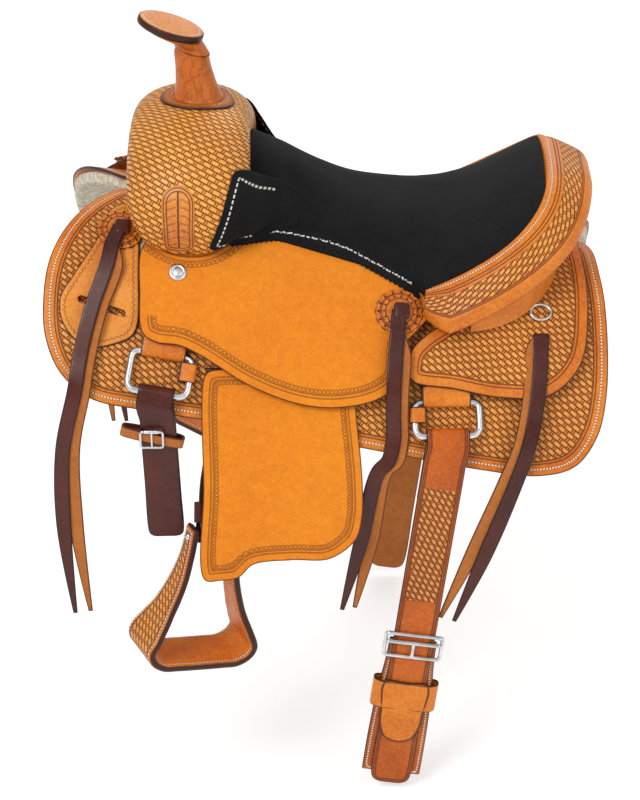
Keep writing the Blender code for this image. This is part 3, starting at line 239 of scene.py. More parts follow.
class Value:
    """A number or colour inside a finish; arithmetic on it adds Math nodes."""

    def __init__(self, finish, socket):
        self.finish = finish
        self.socket = socket

    def math(self, operation, *values):
        return self.finish.node("ShaderNodeMath", {"operation": operation}, dict(enumerate(values)))

    def __add__(self, other):
        return self.math("ADD", self, other)

    def __radd__(self, other):
        return self.math("ADD", other, self)

    def __sub__(self, other):
        return self.math("SUBTRACT", self, other)

    def __rsub__(self, other):
        return self.math("SUBTRACT", other, self)

    def __mul__(self, other):
        return self.math("MULTIPLY", self, other)

    def __rmul__(self, other):
        return self.math("MULTIPLY", other, self)

    def __truediv__(self, other):
        return self.math("DIVIDE", self, other)

    def __pow__(self, other):
        return self.math("POWER", self, other)

    def __abs__(self):
        return self.math("ABSOLUTE", self)

    def least(self, other):
        return self.math("MINIMUM", self, other)

    def most(self, other):
        return self.math("MAXIMUM", self, other)

    def floor(self):
        return self.math("FLOOR", self)

    def fract(self):
        return self.math("FRACT", self)

    def sin(self):
        return self.math("SINE", self)

    def rise(self, low, high):
        """0 below low, 1 above high and a smooth step between."""
        return self.finish.node("ShaderNodeMapRange", {"interpolation_type": "SMOOTHSTEP"},
                                {0: self, 1: low, 2: high})

    def near(self, place, half):
        """1 at a place, fading to 0 at half a width from it."""
        return 1 - abs(self - place).rise(half * 0.45, half)


class Finish:
    """A material being put together; node() is the one way to add a node."""

    def __init__(self, name):
        self.material = bpy.data.materials.new(name)
        self.material.use_nodes = True
        self.tree = self.material.node_tree
        self.shader = self.tree.nodes["Principled BSDF"]

    def node(self, kind, settings=None, values=None, output=0):
        made = self.tree.nodes.new(kind)
        for key, value in (settings or {}).items():
            setattr(made, key, value)
        for key, value in (values or {}).items():
            self.feed(made.inputs[key], value)
        return Value(self, made.outputs[output])

    def feed(self, socket, value):
        if isinstance(value, Value):
            self.tree.links.new(value.socket, socket)
        elif isinstance(value, tuple) and len(value) == 3 and socket.type == "RGBA":
            socket.default_value = (*value, 1)
        else:
            socket.default_value = value

    def chart(self, name):
        """The two coordinates of one of the piece's own maps, in metres."""
        made = self.node("ShaderNodeUVMap", {"uv_map": name})
        split = self.tree.nodes.new("ShaderNodeSeparateXYZ")
        self.tree.links.new(made.socket, split.inputs[0])
        return Value(self, split.outputs[0]), Value(self, split.outputs[1])

    def place(self):
        return self.node("ShaderNodeTexCoord", output="Object")

    def noise(self, scale, detail=3, roughness=0.5, stretch=None):
        at = self.place()
        if stretch:
            at = self.node("ShaderNodeMapping", {}, {"Vector": at, "Scale": stretch})
        return self.node("ShaderNodeTexNoise", {}, {"Vector": at, "Scale": scale, "Detail": detail,
                                                    "Roughness": roughness})

    def mix(self, low, high, share):
        return self.node("ShaderNodeMix", {"data_type": "RGBA"}, {0: share, 6: low, 7: high},
                         output=2)

    def done(self, colour, roughness, height=None, metallic=0.0, **fixed):
        """Colour, roughness and relief, the relief as a height in millimetres."""
        self.feed(self.shader.inputs["Base Color"], colour)
        self.feed(self.shader.inputs["Roughness"], roughness)
        self.feed(self.shader.inputs["Metallic"], metallic)
        for key, value in fixed.items():
            self.feed(self.shader.inputs[key.replace("_", " ")], value)
        if height is not None:
            bump = self.node("ShaderNodeBump", {}, {"Height": height, "Distance": 0.001,
                                                    "Strength": 1.0})
            self.feed(self.shader.inputs["Normal"], bump)
        return self.material


def tone(red, green, blue):
    """Linear colour of a shade read as the eye sees it, 0 to 255."""
    share = np.array([red, green, blue]) / 255
    return tuple(float(v) for v in np.where(share < 0.04045, share / 12.92,
                                            ((share + 0.055) / 1.055) ** 2.4))


BURNISHED = tone(52, 22, 10)
SHADOWED = tone(84, 36, 10)
# Painted highlight for the crowns of the basket stamp's bricks
CROWN_HIGHLIGHT = tone(255, 196, 104)
THREAD = tone(244, 236, 214)
SUEDE_DARK = tone(8, 8, 9)
SUEDE_NAP = tone(34, 34, 37)
SUEDE_THREAD = tone(226, 222, 212)
STITCH_PITCH = 0.0042
SUEDE_STITCH_PITCH = 0.0062


def basket_stamp(u, v, block, lean):
    """Basket stamp: leaning rows of long bricks, each row half a brick on, a cross bar between.

    Returns the height from 0 to 1, a mask of the cuts between the bricks, which take painted shade,
    and one of their crowns, which take a painted highlight.
    """
    long, tall = block
    a = (u * cos(lean) + v * sin(lean)) / long
    b = (v * cos(lean) - u * sin(lean)) / tall
    across = b.fract()
    along = (a + b.floor() * 0.5).fract()
    share = along.least(1 - along)
    side = across.least(1 - across) * tall
    hump = (along * pi).sin()
    brick = share.rise(0.11, 0.16) * side.rise(0.0002, 0.0013)
    post = (1 - share.rise(0.050, 0.080)) * side.rise(0.0, 0.0009)
    crown_highlight = brick * hump.rise(0.35, 1.0) + post * 0.35
    return brick * (hump * 0.45 + 0.55) + post * 0.5, 1 - brick - post, crown_highlight


def hide(f, light, deep):
    """Leather's own colour, in slow patches and fine grain, and the relief of its pores."""
    slow = f.noise(9, 3, 0.6).rise(0.32, 0.70)
    fine = f.noise(240, 4, 0.65).rise(0.30, 0.72)
    colour = f.mix(deep, light, slow * 0.5 + fine * 0.5)
    pores = f.noise(700, 2, 0.5)
    creases = f.noise(60, 5, 0.6)
    return colour, pores * 0.10 + creases * 0.12


def to_stamp(along, inset, place, step):
    """Distance to the nearest stamp of a row: across by the inset, along by the step's rest."""
    off = ((along / step).fract() - 0.5) * step
    return (off * off + (inset - place) * (inset - place)) ** 0.5


def basket_field(f, inset, basket, plain, lean, span):
    """Basket stamping inside a distance and between two lengths: relief, cuts for painted shade,
    crowns for a painted highlight.
    """
    u, v = f.chart("flat")
    stamp, gaps, crown_highlight = basket_stamp(u, v, basket, radians(lean))
    field = inset.rise(plain, plain + 0.0008) if plain else 1.0
    if span:
        start, end = span
        field = field * u.rise(start, start + 0.001) * (1 - u.rise(end, end + 0.001))
    relief = stamp * field * 1.15
    if plain:
        relief = relief - inset.near(plain, 0.0014) * 0.4
    return relief, gaps * field * 0.92, crown_highlight * field * 0.45


def tooled_border(along, inset, grooves, moons, beads, holes):
    """Relief and cut of each creased line and of each row of stamps or holes."""
    made = []
    for place in grooves:
        line = inset.near(place, 0.0011)
        made.append((line * -0.55, line * 0.75))
    for place, step, radius in moons:
        arc = to_stamp(along, inset, place, step).near(radius, 0.0007)
        arc = arc * (inset - place).rise(-0.0006, 0.0006)
        made.append((arc * -0.45, arc * 0.55))
    for place, step, radius in beads:
        reach = to_stamp(along, inset, place, step)
        ring = reach.near(radius, 0.0009)
        made.append(((1 - reach.rise(0, radius)) * 0.5 - ring * 0.45, ring * 0.60))
    for place, step, radius in holes:
        hole = 1 - to_stamp(along, inset, place, step).rise(radius * 0.75, radius)
        made.append((hole * -1.5, hole))
    return made


def leather(name, light, deep, grooves=(), stitches=(), basket=None, plain=0.0, lean=35,
            moons=(), beads=(), holes=(), rough=0.42, edge=0.0016, edge_tone=BURNISHED,
            span=None, creased=False):
    """Smooth or tooled leather. All places are distances in from the piece's edge.

    grooves are creased lines, stitches rows of thread, moons and beads rows of small stamps,
    holes rows of punched holes, and basket is the size of a stamped brick, from the distance
    plain inwards and between the two lengths of span. edge is the width of the dyed edge.
    """
    f = Finish(name)
    along, inset = f.chart("edge")
    colour, height = hide(f, light, deep)
    cut = None
    if creased:
        folds = f.noise(48, 4, 0.6, (1.0, 1.0, 0.5)).near(0.5, 0.030)
        height = height - folds * 0.35
        cut = folds * 0.28
    if basket:
        relief, cut, crown_highlight = basket_field(f, inset, basket, plain, lean, span)
        height = height + relief
        # Painted highlight on the crowns of the bricks
        colour = f.mix(colour, CROWN_HIGHLIGHT, crown_highlight)
    for relief, deepened in tooled_border(along, inset, grooves, moons, beads, holes):
        height = height + relief
        cut = deepened + (cut or 0.0)
    if cut:
        colour = f.mix(colour, SHADOWED, cut.least(1.0))
    for place in stitches:
        row = inset.near(place, 0.0013)
        step = (along / STITCH_PITCH).fract()
        thread = inset.near(place, 0.0011) * step.rise(0.12, 0.22) * (1 - step.rise(0.78, 0.88))
        colour = f.mix(colour, SHADOWED, row * 0.8)
        colour = f.mix(colour, THREAD, thread)
        height = height - row * 0.4 + thread * 0.5
    if edge:
        colour = f.mix(colour, edge_tone, 1 - inset.rise(edge * 0.5, edge * 1.6))
    shine = f.noise(35, 4, 0.6).rise(0.3, 0.7) * 0.16 + (rough - 0.08)
    if cut:
        shine = shine + cut.least(1.0) * 0.2
    return f.done(colour, shine, height, Coat_Weight=0.03, Coat_Roughness=0.28,
                  Specular_IOR_Level=0.34)


def bare_leather(name, light, deep, rough=0.42):
    """Smooth leather without tooling, for a piece that carries no charts."""
    f = Finish(name)
    colour, height = hide(f, light, deep)
    return f.done(colour, rough, height, Coat_Weight=0.06, Coat_Roughness=0.3)


def laced_leather(name, light, deep, middle):
    """Tongue of the swell: a double creased border, a laced seam and the folds it pulls."""
    f = Finish(name)
    inset = f.chart("edge")[1]
    u, v = f.chart("flat")
    colour, height = hide(f, light, deep)
    inside = inset.rise(0.0062, 0.0072)
    off = u - middle
    sag = v + off * off * 22
    folds = (sag / 0.0098).fract().near(0.5, 0.16) * inside * (1 - off.near(0.0, 0.0030))
    lace = off.near(0.0, 0.0020) * inside * (v / 0.0049).fract().near(0.5, 0.55)
    seam = off.near(0.0, 0.0010) * inside
    lines = inset.near(0.0024, 0.0010) + inset.near(0.0060, 0.0011)
    cut = folds * 0.40 + lace * 0.45 + seam + lines * 0.85
    colour = f.mix(colour, SHADOWED, cut.least(1.0))
    height = height - folds * 0.5 - lines * 0.5 - seam * 0.8 + lace * 0.4
    return f.done(colour, 0.40, height, Coat_Weight=0.06, Coat_Roughness=0.3)


def rough_leather(name, light, deep, grooves=(), beads=(), rough=0.92, arc=None):
    """Leather with its flesh side out: short nap, mottled, with creased and beaded borders.

    arc is the centre and radius of a border that runs in a curve of its own. The borders along
    the edge stop inside it, and up the front edge.
    """
    f = Finish(name)
    along, inset = f.chart("edge")
    nap = f.noise(420, 5, 0.75)
    mottle = f.noise(95, 4, 0.7).rise(0.30, 0.72)
    slow = f.noise(7, 2, 0.5).rise(0.25, 0.75)
    colour = f.mix(deep, light, nap.rise(0.32, 0.66) * 0.45 + mottle * 0.30 + slow * 0.25)
    height = nap * 0.35 + mottle * 0.10
    cut = 1 - inset.rise(0.0008, 0.0022)
    kept = 1.0
    if arc:
        u, v = f.chart("flat")
        across, down, radius = arc
        out = ((u - across) * (u - across) + (v - down) * (v - down)) ** 0.5 - radius
        kept = out.rise(-0.001, 0.001) * u.rise(-0.195, -0.190).most(v.rise(0.212, 0.216))
        lines = out.near(0.0, 0.0013) + out.near(0.0062, 0.0013)
        ring = to_stamp(u, out, 0.0112, 0.0056).near(0.0024, 0.0010)
        height = height - lines * 0.6 - ring * 0.5
        cut = cut + lines * 0.55 + ring * 0.50
    for place in grooves:
        line = inset.near(place, 0.0012) * kept
        height = height - line * 0.6
        cut = cut + line * 0.55
    for place, step, radius in beads:
        ring = to_stamp(along, inset, place, step).near(radius, 0.0010) * kept
        height = height - ring * 0.5
        cut = cut + ring * 0.50
    colour = f.mix(colour, SHADOWED, cut.least(1.0))
    return f.done(colour, rough, height, Sheen_Weight=0.10, Sheen_Roughness=0.5)


def suede(name, place=None, bare=None):
    """Black suede with a faint nap, and a row of pale stitches where a place is given.

    bare is a height and how far back the row runs above it and below it.
    """
    f = Finish(name)
    nap = f.noise(520, 5, 0.75)
    brushed = f.noise(16, 4, 0.7).rise(0.3, 0.7)
    colour = f.mix(SUEDE_DARK, SUEDE_NAP, nap.rise(0.35, 0.75) * 0.45 + brushed * 0.30)
    height = nap * 0.35
    if place:
        along, inset = f.chart("edge")
        kept = 1.0
        if bare:
            split, upper, lower = bare
            u, v = f.chart("flat")
            high = v.rise(split, split + 0.001)
            kept = 1 - u.rise(upper, upper + 0.001) * high - u.rise(lower, lower + 0.001) * (1 - high)
        row = inset.near(place, 0.0017) * kept
        step = (along / SUEDE_STITCH_PITCH).fract()
        thread = inset.near(place, 0.0013) * kept
        thread = thread * step.rise(0.10, 0.20) * (1 - step.rise(0.74, 0.84))
        # Painted shade along the sunken stitch row
        colour = f.mix(colour, SUEDE_DARK, row * 0.6)
        colour = f.mix(colour, SUEDE_THREAD, thread)
        height = height - row * 0.5 + thread * 0.5
    return f.done(colour, 0.97, height, Sheen_Weight=0.02, Sheen_Roughness=0.4,
                  Specular_IOR_Level=0.25)


def steel(name, rough=0.20):
    """Polished stainless steel with fine scratches and a few duller patches."""
    f = Finish(name)
    slow = f.noise(40, 3, 0.6).rise(0.35, 0.7)
    scratch = f.noise(900, 3, 0.6, (1.0, 1.0, 0.15))
    colour = f.mix(tone(196, 197, 200), tone(226, 227, 230), slow)
    return f.done(colour, slow * 0.08 + scratch * 0.06 + rough, scratch * 0.02, metallic=1.0)


def wool(name):
    """Sheared fleece: cream clumps with painted shade in the hollows between them, mottled by the
    curls.
    """
    f = Finish(name)
    clumps = f.node("ShaderNodeTexVoronoi", {"feature": "SMOOTH_F1"},
                    {"Vector": f.place(), "Scale": 150.0, "Smoothness": 0.6})
    curls = f.noise(330, 5, 0.8)
    colour = f.mix(tone(236, 228, 208), tone(176, 160, 128), clumps.rise(0.2, 0.8) * 0.6
                   + curls.rise(0.35, 0.8) * 0.4)
    return f.done(colour, 1.0, curls * 1.2 - clumps * 1.4, Sheen_Weight=0.25)


def rawhide(name):
    """Wood covered in rawhide: pale, hard, with long streaks."""
    f = Finish(name)
    streak = f.noise(30, 5, 0.7, (0.4, 2.0, 2.0)).rise(0.3, 0.7)
    spots = f.noise(160, 4, 0.7)
    colour = f.mix(tone(196, 160, 108), tone(226, 200, 152), streak)
    return f.done(colour, 0.5, spots * 0.25 + streak * 0.15, Coat_Weight=0.3)


def plain_floor(name):
    """Pale floor: it looks white to the camera and in reflections, and keeps its shadows."""
    f = Finish(name)
    seen = 0.0
    for ray in ("Is Camera Ray", "Is Glossy Ray", "Is Transmission Ray"):
        seen = f.node("ShaderNodeLightPath", output=ray) + seen
    glow = f.mix(tone(0, 0, 0), tone(166, 166, 166), seen.least(1.0))
    return f.done(tone(236, 236, 236), 0.9, Emission_Color=glow, Emission_Strength=1.0)


TAN = tone(238, 142, 42)
TAN_DEEP = tone(192, 92, 16)
GOLD_TAN = tone(248, 166, 62)
GOLD_TAN_DEEP = tone(212, 116, 28)
PALE_TAN = tone(242, 160, 62)
PALE_TAN_DEEP = tone(206, 112, 34)
RED_TAN = tone(214, 108, 26)
RED_TAN_DEEP = tone(164, 70, 12)
ORANGE = tone(246, 150, 20)
ORANGE_DEEP = tone(212, 110, 8)
LATIGO = tone(92, 36, 22)
LATIGO_DEEP = tone(56, 18, 12)
FLESH = tone(200, 122, 54)
FLESH_DEEP = tone(162, 86, 30)

SKIRT = leather("skirt_leather", TAN, TAN_DEEP, grooves=(0.0150, 0.0185), stitches=(0.0085,),
                basket=(0.0130, 0.0064), plain=0.0190)
JOCKEY = leather("jockey_leather", TAN, TAN_DEEP, grooves=(0.0125, 0.0165),
                 basket=(0.0125, 0.0062), plain=0.0170)
PLATE = leather("plate_leather", PALE_TAN, PALE_TAN_DEEP, moons=((0.0055, 0.0068, 0.0026),),
                rough=0.5)
ROLL = leather("roll_leather", TAN, TAN_DEEP, grooves=(0.0125, 0.0165, 0.0470, 0.0495),
               stitches=(0.0050,), edge=0)
ROLL_BASKET = leather("roll_basket", TAN, TAN_DEEP, basket=(0.0120, 0.0060), lean=20,
                      grooves=(0.0205, 0.0470), edge=0)
SWELL = leather("swell_leather", GOLD_TAN, GOLD_TAN_DEEP, basket=(0.0140, 0.0064), lean=-30, edge=0)
SMOOTH = leather("smooth_leather", TAN, TAN_DEEP, rough=0.36)
ROSETTE_LOW = leather("rosette_leather", TAN, TAN_DEEP, grooves=(0.0060,), edge=0.0009,
                      holes=((0.0038, 2 * pi * ROSETTE_RADIUS / ROSETTE_SCALLOPS, 0.0018),))
ROSETTE_TOP = leather("rosette_top_leather", TAN, TAN_DEEP, grooves=(0.0056,), edge=0.0009,
                      holes=((0.0034, 2 * pi * ROSETTE_TOP_RADIUS / ROSETTE_SCALLOPS, 0.0015),))
BRANCH = leather("branch_leather", TAN, TAN_DEEP, stitches=(0.0050,), grooves=(0.0078,),
                 basket=(0.0125, 0.0062), plain=0.0080, lean=50)
TREAD = leather("tread_leather", TAN, TAN_DEEP, stitches=(0.0050,), rough=0.5)
DARK = leather("latigo_leather", LATIGO, LATIGO_DEEP, rough=0.34, edge_tone=tone(34, 14, 10))
ROUGHOUT = rough_leather("seat_jockey_roughout", ORANGE, ORANGE_DEEP, grooves=(0.0110, 0.0150),
                         beads=((0.0190, 0.0056, 0.0024),), arc=SWELL_ARC)
FENDER = rough_leather("fender_roughout", ORANGE, ORANGE_DEEP, grooves=(0.0100, 0.0135),
                       beads=((0.0172, 0.0050, 0.0021),))
FLESH_SIDE = rough_leather("flesh_side", FLESH, FLESH_DEEP)
SUEDE = suede("black_suede")
SUEDE_EAR = suede("black_suede_ear", 0.0090, (0.030, -0.056, -0.084))
SUEDE_FLAP = suede("black_suede_flap", 0.0098)
STEEL = steel("polished_steel")
TONGUE = laced_leather("tongue_leather", PALE_TAN, TAN_DEEP, TONGUE_X)
NECK = leather("neck_leather", PALE_TAN_DEEP, TAN_DEEP, rough=0.34, edge=0, creased=True,
               grooves=(0.0,))
CAP = leather("cap_top_leather", PALE_TAN, TAN_DEEP, stitches=(0.0060,), rough=0.45)
COLLAR = leather("collar_leather", TAN, TAN_DEEP, grooves=(0.0022, 0.0042, 0.0120),
                 beads=((0.0080, 0.0058, 0.0023),), rough=0.4)
BILLET_FACE = leather("billet_face", RED_TAN, RED_TAN_DEEP, grooves=(0.0035, 0.0060), rough=0.36,
                      basket=(0.0120, 0.0060), plain=0.0065, span=BILLET_PANEL)
CINCH = leather("cinch_leather", RED_TAN, RED_TAN_DEEP, stitches=(0.0050,), rough=0.40)
KEEPER = leather("keeper_leather", TAN, TAN_DEEP, grooves=(0.0022,), rough=0.36)
BACK = bare_leather("cantle_back_leather", TAN, TAN_DEEP)
SCREW = steel("screw_steel", 0.28)
FLOOR = plain_floor("pale_floor")
WOOL = wool("sheared_fleece")
RAWHIDE = rawhide("rawhide")


# Curves and meshes


def smooth_through(points, spans=12, closed=True):
    """Centripetal Catmull-Rom curve: each span is a blend of blends of four neighbours."""
    p = np.asarray(points, float)
    if closed:
        quad = [np.roll(p, -k, axis=0) for k in (-1, 0, 1, 2)]
    else:
        padded = np.concatenate([p[:1], p, p[-1:]])
        quad = [padded[k:k + len(p) - 1] for k in range(4)]
    knots = [np.zeros(len(quad[0]))]
    for a, b in zip(quad, quad[1:]):
        knots.append(knots[-1] + np.maximum(np.linalg.norm(b - a, axis=1), 1e-6) ** 0.5)
    knots = [k[:, None, None] for k in knots]
    quad = [q[:, None, :] for q in quad]
    t = knots[1] + (knots[2] - knots[1]) * np.linspace(0, 1, spans, endpoint=False)[None, :, None]
    for width in (1, 2, 3):
        quad = [((knots[j + width] - t) * quad[j] + (t - knots[j]) * quad[j + 1])
                / (knots[j + width] - knots[j]) for j in range(4 - width)]
        if width == 2:
            knots_low, knots_high = knots[1], knots[2]
            break
    curve = ((knots_high - t) * quad[0] + (t - knots_low) * quad[1]) / (knots_high - knots_low)
    curve = curve.reshape(-1, p.shape[1])
    return curve if closed else np.concatenate([curve, p[-1:]])


def lengths(line):
    """Length along a line at each of its points."""
    return np.concatenate([[0], np.cumsum(np.linalg.norm(np.diff(line, axis=0), axis=1))])


def eased(share):
    """Smooth step of a share from 0 to 1."""
    return share * share * (3 - 2 * share)


def signed_power(values, n):
    """Power of a number's size, with its sign."""
    return np.sign(values) * np.abs(values) ** n


def wrapped(grid):
    """Grid with its first column once more at the end."""
    return np.concatenate([grid, grid[:, :1]], axis=1)


def capped(points):
    """Rows of points with the middle of the first and of the last row added as their caps."""
    ends = points.mean(axis=1, keepdims=True)
    return np.concatenate([ends[:1] + 0 * points[:1], points, ends[-1:] + 0 * points[-1:]])


def resample(line, at, axes=3):
    """Values of a line at lengths along it; axes is how many of its columns are its place."""
    along = lengths(line[:, :axes])
    return np.stack([np.interp(at, along, line[:, k]) for k in range(line.shape[1])], axis=1)


def mesh_piece(name, points, faces, finishes, maps=(), picks=None):
    """Piece from points and quads, its doubles merged and its faces turned outwards."""
    mesh = bpy.data.meshes.new(name)
    mesh.from_pydata(points.tolist(), [], faces.tolist())
    for title, corners in maps:
        layer = mesh.uv_layers.new(name=title)
        layer.data.foreach_set("uv", np.asarray(corners, np.float32).ravel())
    for finish in finishes:
        mesh.materials.append(finish)
    if picks is not None:
        mesh.polygons.foreach_set("material_index", np.asarray(picks, np.int32).ravel())
    bm = bmesh.new()
    bm.from_mesh(mesh)
    bmesh.ops.remove_doubles(bm, verts=bm.verts, dist=4e-6)
    bmesh.ops.dissolve_degenerate(bm, edges=bm.edges, dist=1e-7)
    bmesh.ops.recalc_face_normals(bm, faces=bm.faces)
    if bm.calc_volume(signed=True) < 0:
        bmesh.ops.reverse_faces(bm, faces=bm.faces)
    bm.to_mesh(mesh)
    bm.free()
    mesh.shade_smooth()
    made = bpy.data.objects.new(name, mesh)
    bpy.context.scene.collection.objects.link(made)
    return made


def grid_piece(name, points, finishes, charts=None, ring=False, tube=False, pick=None):
    """Piece through a grid of points, closed round its first way (ring) or second (tube).

    charts give each map's values at the grid's corners, one more row or column where closed.
    pick gives the number of the finish for each quad.
    """
    n, m = points.shape[:2]
    i, j = np.meshgrid(np.arange(n - (not ring)), np.arange(m - (not tube)), indexing="ij")
    corners = [(i, j), (i + 1, j), (i + 1, j + 1), (i, j + 1)]
    faces = np.stack([(a % n) * m + b % m for a, b in corners], axis=-1).reshape(-1, 4)
    maps = [(title, np.stack([values[a, b] for a, b in corners], axis=-2).reshape(-1, 2))
            for title, values in (charts or {}).items()]
    finishes = finishes if isinstance(finishes, (list, tuple)) else [finishes]
    return mesh_piece(name, points.reshape(-1, 3), faces, finishes, maps,
                      None if pick is None else pick.reshape(-1))


def dress(piece, body, *nodes, slot="tooled_leather"):
    """The piece rides on a body and stands for its CAD nodes; slot is not used."""
    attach(piece, body)
    if nodes:
        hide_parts(*nodes)
    return piece


# The barrel and the leathers cut to it

TURNS = np.linspace(0, pi / 2, 800)
FALLS = lengths(np.stack([BARREL_HALF_WIDTH * np.sin(TURNS), BARREL_DEPTH * np.cos(TURNS)], 1))


def ridge_z(x):
    """Height of the barrel's ridge, which falls evenly to the rear."""
    return -RIDGE_FALL * x


def fall_at(depth):
    """Length down the barrel at a depth below the ridge."""
    return np.interp(np.arccos(np.clip(1 - np.asarray(depth) / BARREL_DEPTH, -1, 1)), TURNS, FALLS)


def depth_at(fall):
    """Depth below the ridge at a length down the barrel."""
    return BARREL_DEPTH * (1 - np.cos(np.interp(fall, FALLS, TURNS)))


def on_barrel(x, fall, lift, side):
    """Point of the half ellipse at a fall, moved square to it by the lift."""
    turn = np.interp(fall, FALLS, TURNS)
    ny, nz = BARREL_DEPTH * np.sin(turn), BARREL_HALF_WIDTH * np.cos(turn)
    size = np.hypot(ny, nz)
    y = BARREL_HALF_WIDTH * np.sin(turn) + lift * ny / size
    z = ridge_z(x) - BARREL_DEPTH * (1 - np.cos(turn)) + lift * nz / size
    return np.stack(np.broadcast_arrays(x + 0 * y, side * y, z), axis=-1)


def at_depth(x, depth, lift, side):
    """Point of the barrel at a depth below its ridge, moved square to it by the lift."""
    return on_barrel(np.asarray(x, float), fall_at(depth), lift, side)


def side_frame(x, depth, lift, side):
    """Place on the barrel with its rearward, downward and outward directions."""
    p = at_depth(x, depth, lift, side)
    down = at_depth(x, depth + 0.002, lift, side) - at_depth(x, depth - 0.002, lift, side)
    down /= np.linalg.norm(down)
    rear = np.array([1, 0, -RIDGE_FALL])
    rear = rear - rear @ down * down
    rear /= np.linalg.norm(rear)
    outward = np.cross(rear, down)
    outward *= np.sign(outward[1] * side)
    return p, rear, down, outward


def layer_top(x, y, lift):
    """Height of a layer of leather at a place in plan."""
    depth = np.linspace(0, 0.25, 400) ** 2 * 8
    points = at_depth(0.0, np.minimum(depth, BARREL_DEPTH), lift, 1)
    return ridge_z(x) + np.interp(np.abs(y), points[:, 1], points[:, 2])


def over_bars(depth, low):
    """Lift of a leather that lies over the bars and then drops towards the skirt."""
    t = np.clip((depth - BAR_BOTTOM_DEPTH - 0.0003) / 0.046, 0, 1)
    return REAR_JOCKEY_IN + (low - REAR_JOCKEY_IN) * eased(t)


def rear_jockey_lift(depth):
    """Lift of the rear jockey, which ends on the rigging."""
    return over_bars(depth, SKIRT_OUT + RIGGING_THICK + 5 * GAP)


def plate_lift(depth):
    """Lift of the keeper plate, which ends on the skirt."""
    return over_bars(depth, SKIRT_OUT + GAP)


def face_spine(line, spine, step):
    """Outline cut into two sides and two ends that face a spine, with the spine's foot of each.

    The two sides have as many points as each other, so that they meet along the spine.
    """
    a, b = np.asarray(spine, float)
    axis = (b - a) / np.dot(b - a, b - a)
    line = np.roll(line, -int(np.argmin((line - a) @ axis)), axis=0)
    share = (line - a) @ axis
    closed = np.concatenate([line, line[:1]])
    along = lengths(closed)
    inside, beyond = np.flatnonzero(share > 0), np.flatnonzero(share > 1)
    cuts = along[[inside[0], beyond[0], beyond[-1], inside[-1]]]
    cuts = np.append(cuts, cuts[0] + along[-1])
    sides = max(4, int(np.linalg.norm(b - a) / step))
    counts = [sides, max(6, int((cuts[2] - cuts[1]) / step)),
              sides, max(6, int((cuts[4] - cuts[3]) / step))]
    at = np.concatenate([np.linspace(cuts[k], cuts[k + 1], n, endpoint=False)
                         for k, n in enumerate(counts)])
    forth = np.linspace(0, 1, sides, endpoint=False)
    share = np.concatenate([forth, np.ones(counts[1]), 1 - forth, np.zeros(counts[3])])
    return resample(closed, at % along[-1], 2), a + (b - a) * share[:, None], closed


def edge_chart(points, closed, start):
    """Length along a closed outline of the nearest place, and the distance to it.

    start is a rough length for each first index, so that the chart runs on over the join.
    """
    along = lengths(closed)
    total = along[-1]
    line = resample(closed, np.arange(0, total, 0.001), 2)
    tangent = np.roll(line, -1, 0) - np.roll(line, 1, 0)
    tangent /= np.linalg.norm(tangent, axis=1, keepdims=True)
    flat = points.reshape(-1, 2)
    nearest = np.concatenate([((part[:, None] - line[None]) ** 2).sum(2).argmin(1)
                              for part in np.array_split(flat, max(1, len(flat) // 2000))])
    away = flat - line[nearest]
    slide = (away * tangent[nearest]).sum(1)
    inset = np.sqrt(np.maximum((away ** 2).sum(1) - slide ** 2, 0)).reshape(points.shape[:2])
    place = (nearest * 0.001 + slide).reshape(points.shape[:2])
    place = start[:, None] + (place - start[:, None] + total / 2) % total - total / 2
    return np.stack([place, inset], axis=-1)


# Steps of a sheet's section: inset from the edge, share of the way to the spine, share of the
# thickness
ROUND = [(1 - cos(radians(t)), 0.5 + 0.5 * sin(radians(t))) for t in (-90, -55, -20, 20, 55, 90)]
INWARD = (0.05, 0.11, 0.18, 0.26, 0.35, 0.44, 0.53, 0.62, 0.72, 0.82, 0.91, 1.0)


def cut_sheet(name, outline, spine, thick, place, finishes, step=0.0025, relief=None):
    """Leather cut to an outline: a rounded edge carried round it and drawn in to the spine.

    place(u, v, height) gives the points; height runs from 0 on the inner face to the thickness.
    """
    dense = smooth_through(outline, 24) if len(outline) < 60 else np.asarray(outline)
    line, feet, closed = face_spine(dense, spine, step)
    tangent = np.roll(line, -1, 0) - np.roll(line, 1, 0)
    tangent /= np.linalg.norm(tangent, axis=1, keepdims=True)
    area = (line[:, 0] * np.roll(line[:, 1], -1) - line[:, 1] * np.roll(line[:, 0], -1)).sum()
    inward = np.stack([-tangent[:, 1], tangent[:, 0]], 1) * np.sign(area)
    r = thick * 0.42
    steps = [(r, share, 0.0) for share in (1.0, 0.6, 0.25)]
    steps += [(r * a, 0.0, b) for a, b in ROUND]
    steps += [(0.004, 0.0, 1.0)] + [(0.004, share, 1.0) for share in INWARD]
    inset, share, height = (np.array(column) for column in zip(*steps))
    base = line[:, None] + inward[:, None] * inset[None, :, None]
    flat = base + (feet[:, None] - base) * share[None, :, None]
    lift = np.broadcast_to(height * thick, flat.shape[:2]).copy()
    start = lengths(np.concatenate([line, line[:1]]))
    edge = edge_chart(np.concatenate([flat, flat[:1]]), closed, start)
    if relief is not None:
        lift = lift + relief(flat, height)
    points = place(flat[..., 0], flat[..., 1], lift)
    maps = {"flat": np.concatenate([flat, flat[:1]]), "edge": edge}
    return grid_piece(name, points, finishes, maps, ring=True)


def barrel_leather(name, outline, spine, lift, thick, side, finish, **more):
    """Leather cut to an outline of (x, depth) and laid on the barrel at a lift."""
    flat = [(x, float(fall_at(d))) for x, d in outline]
    spine = [(x, float(fall_at(d))) for x, d in spine]

    def place(x, fall, height):
        low = lift(depth_at(fall)) if callable(lift) else lift
        return on_barrel(x, fall, low + height, side)

    return cut_sheet(name, flat, spine, thick, place, finish, **more)


# Straps and bars


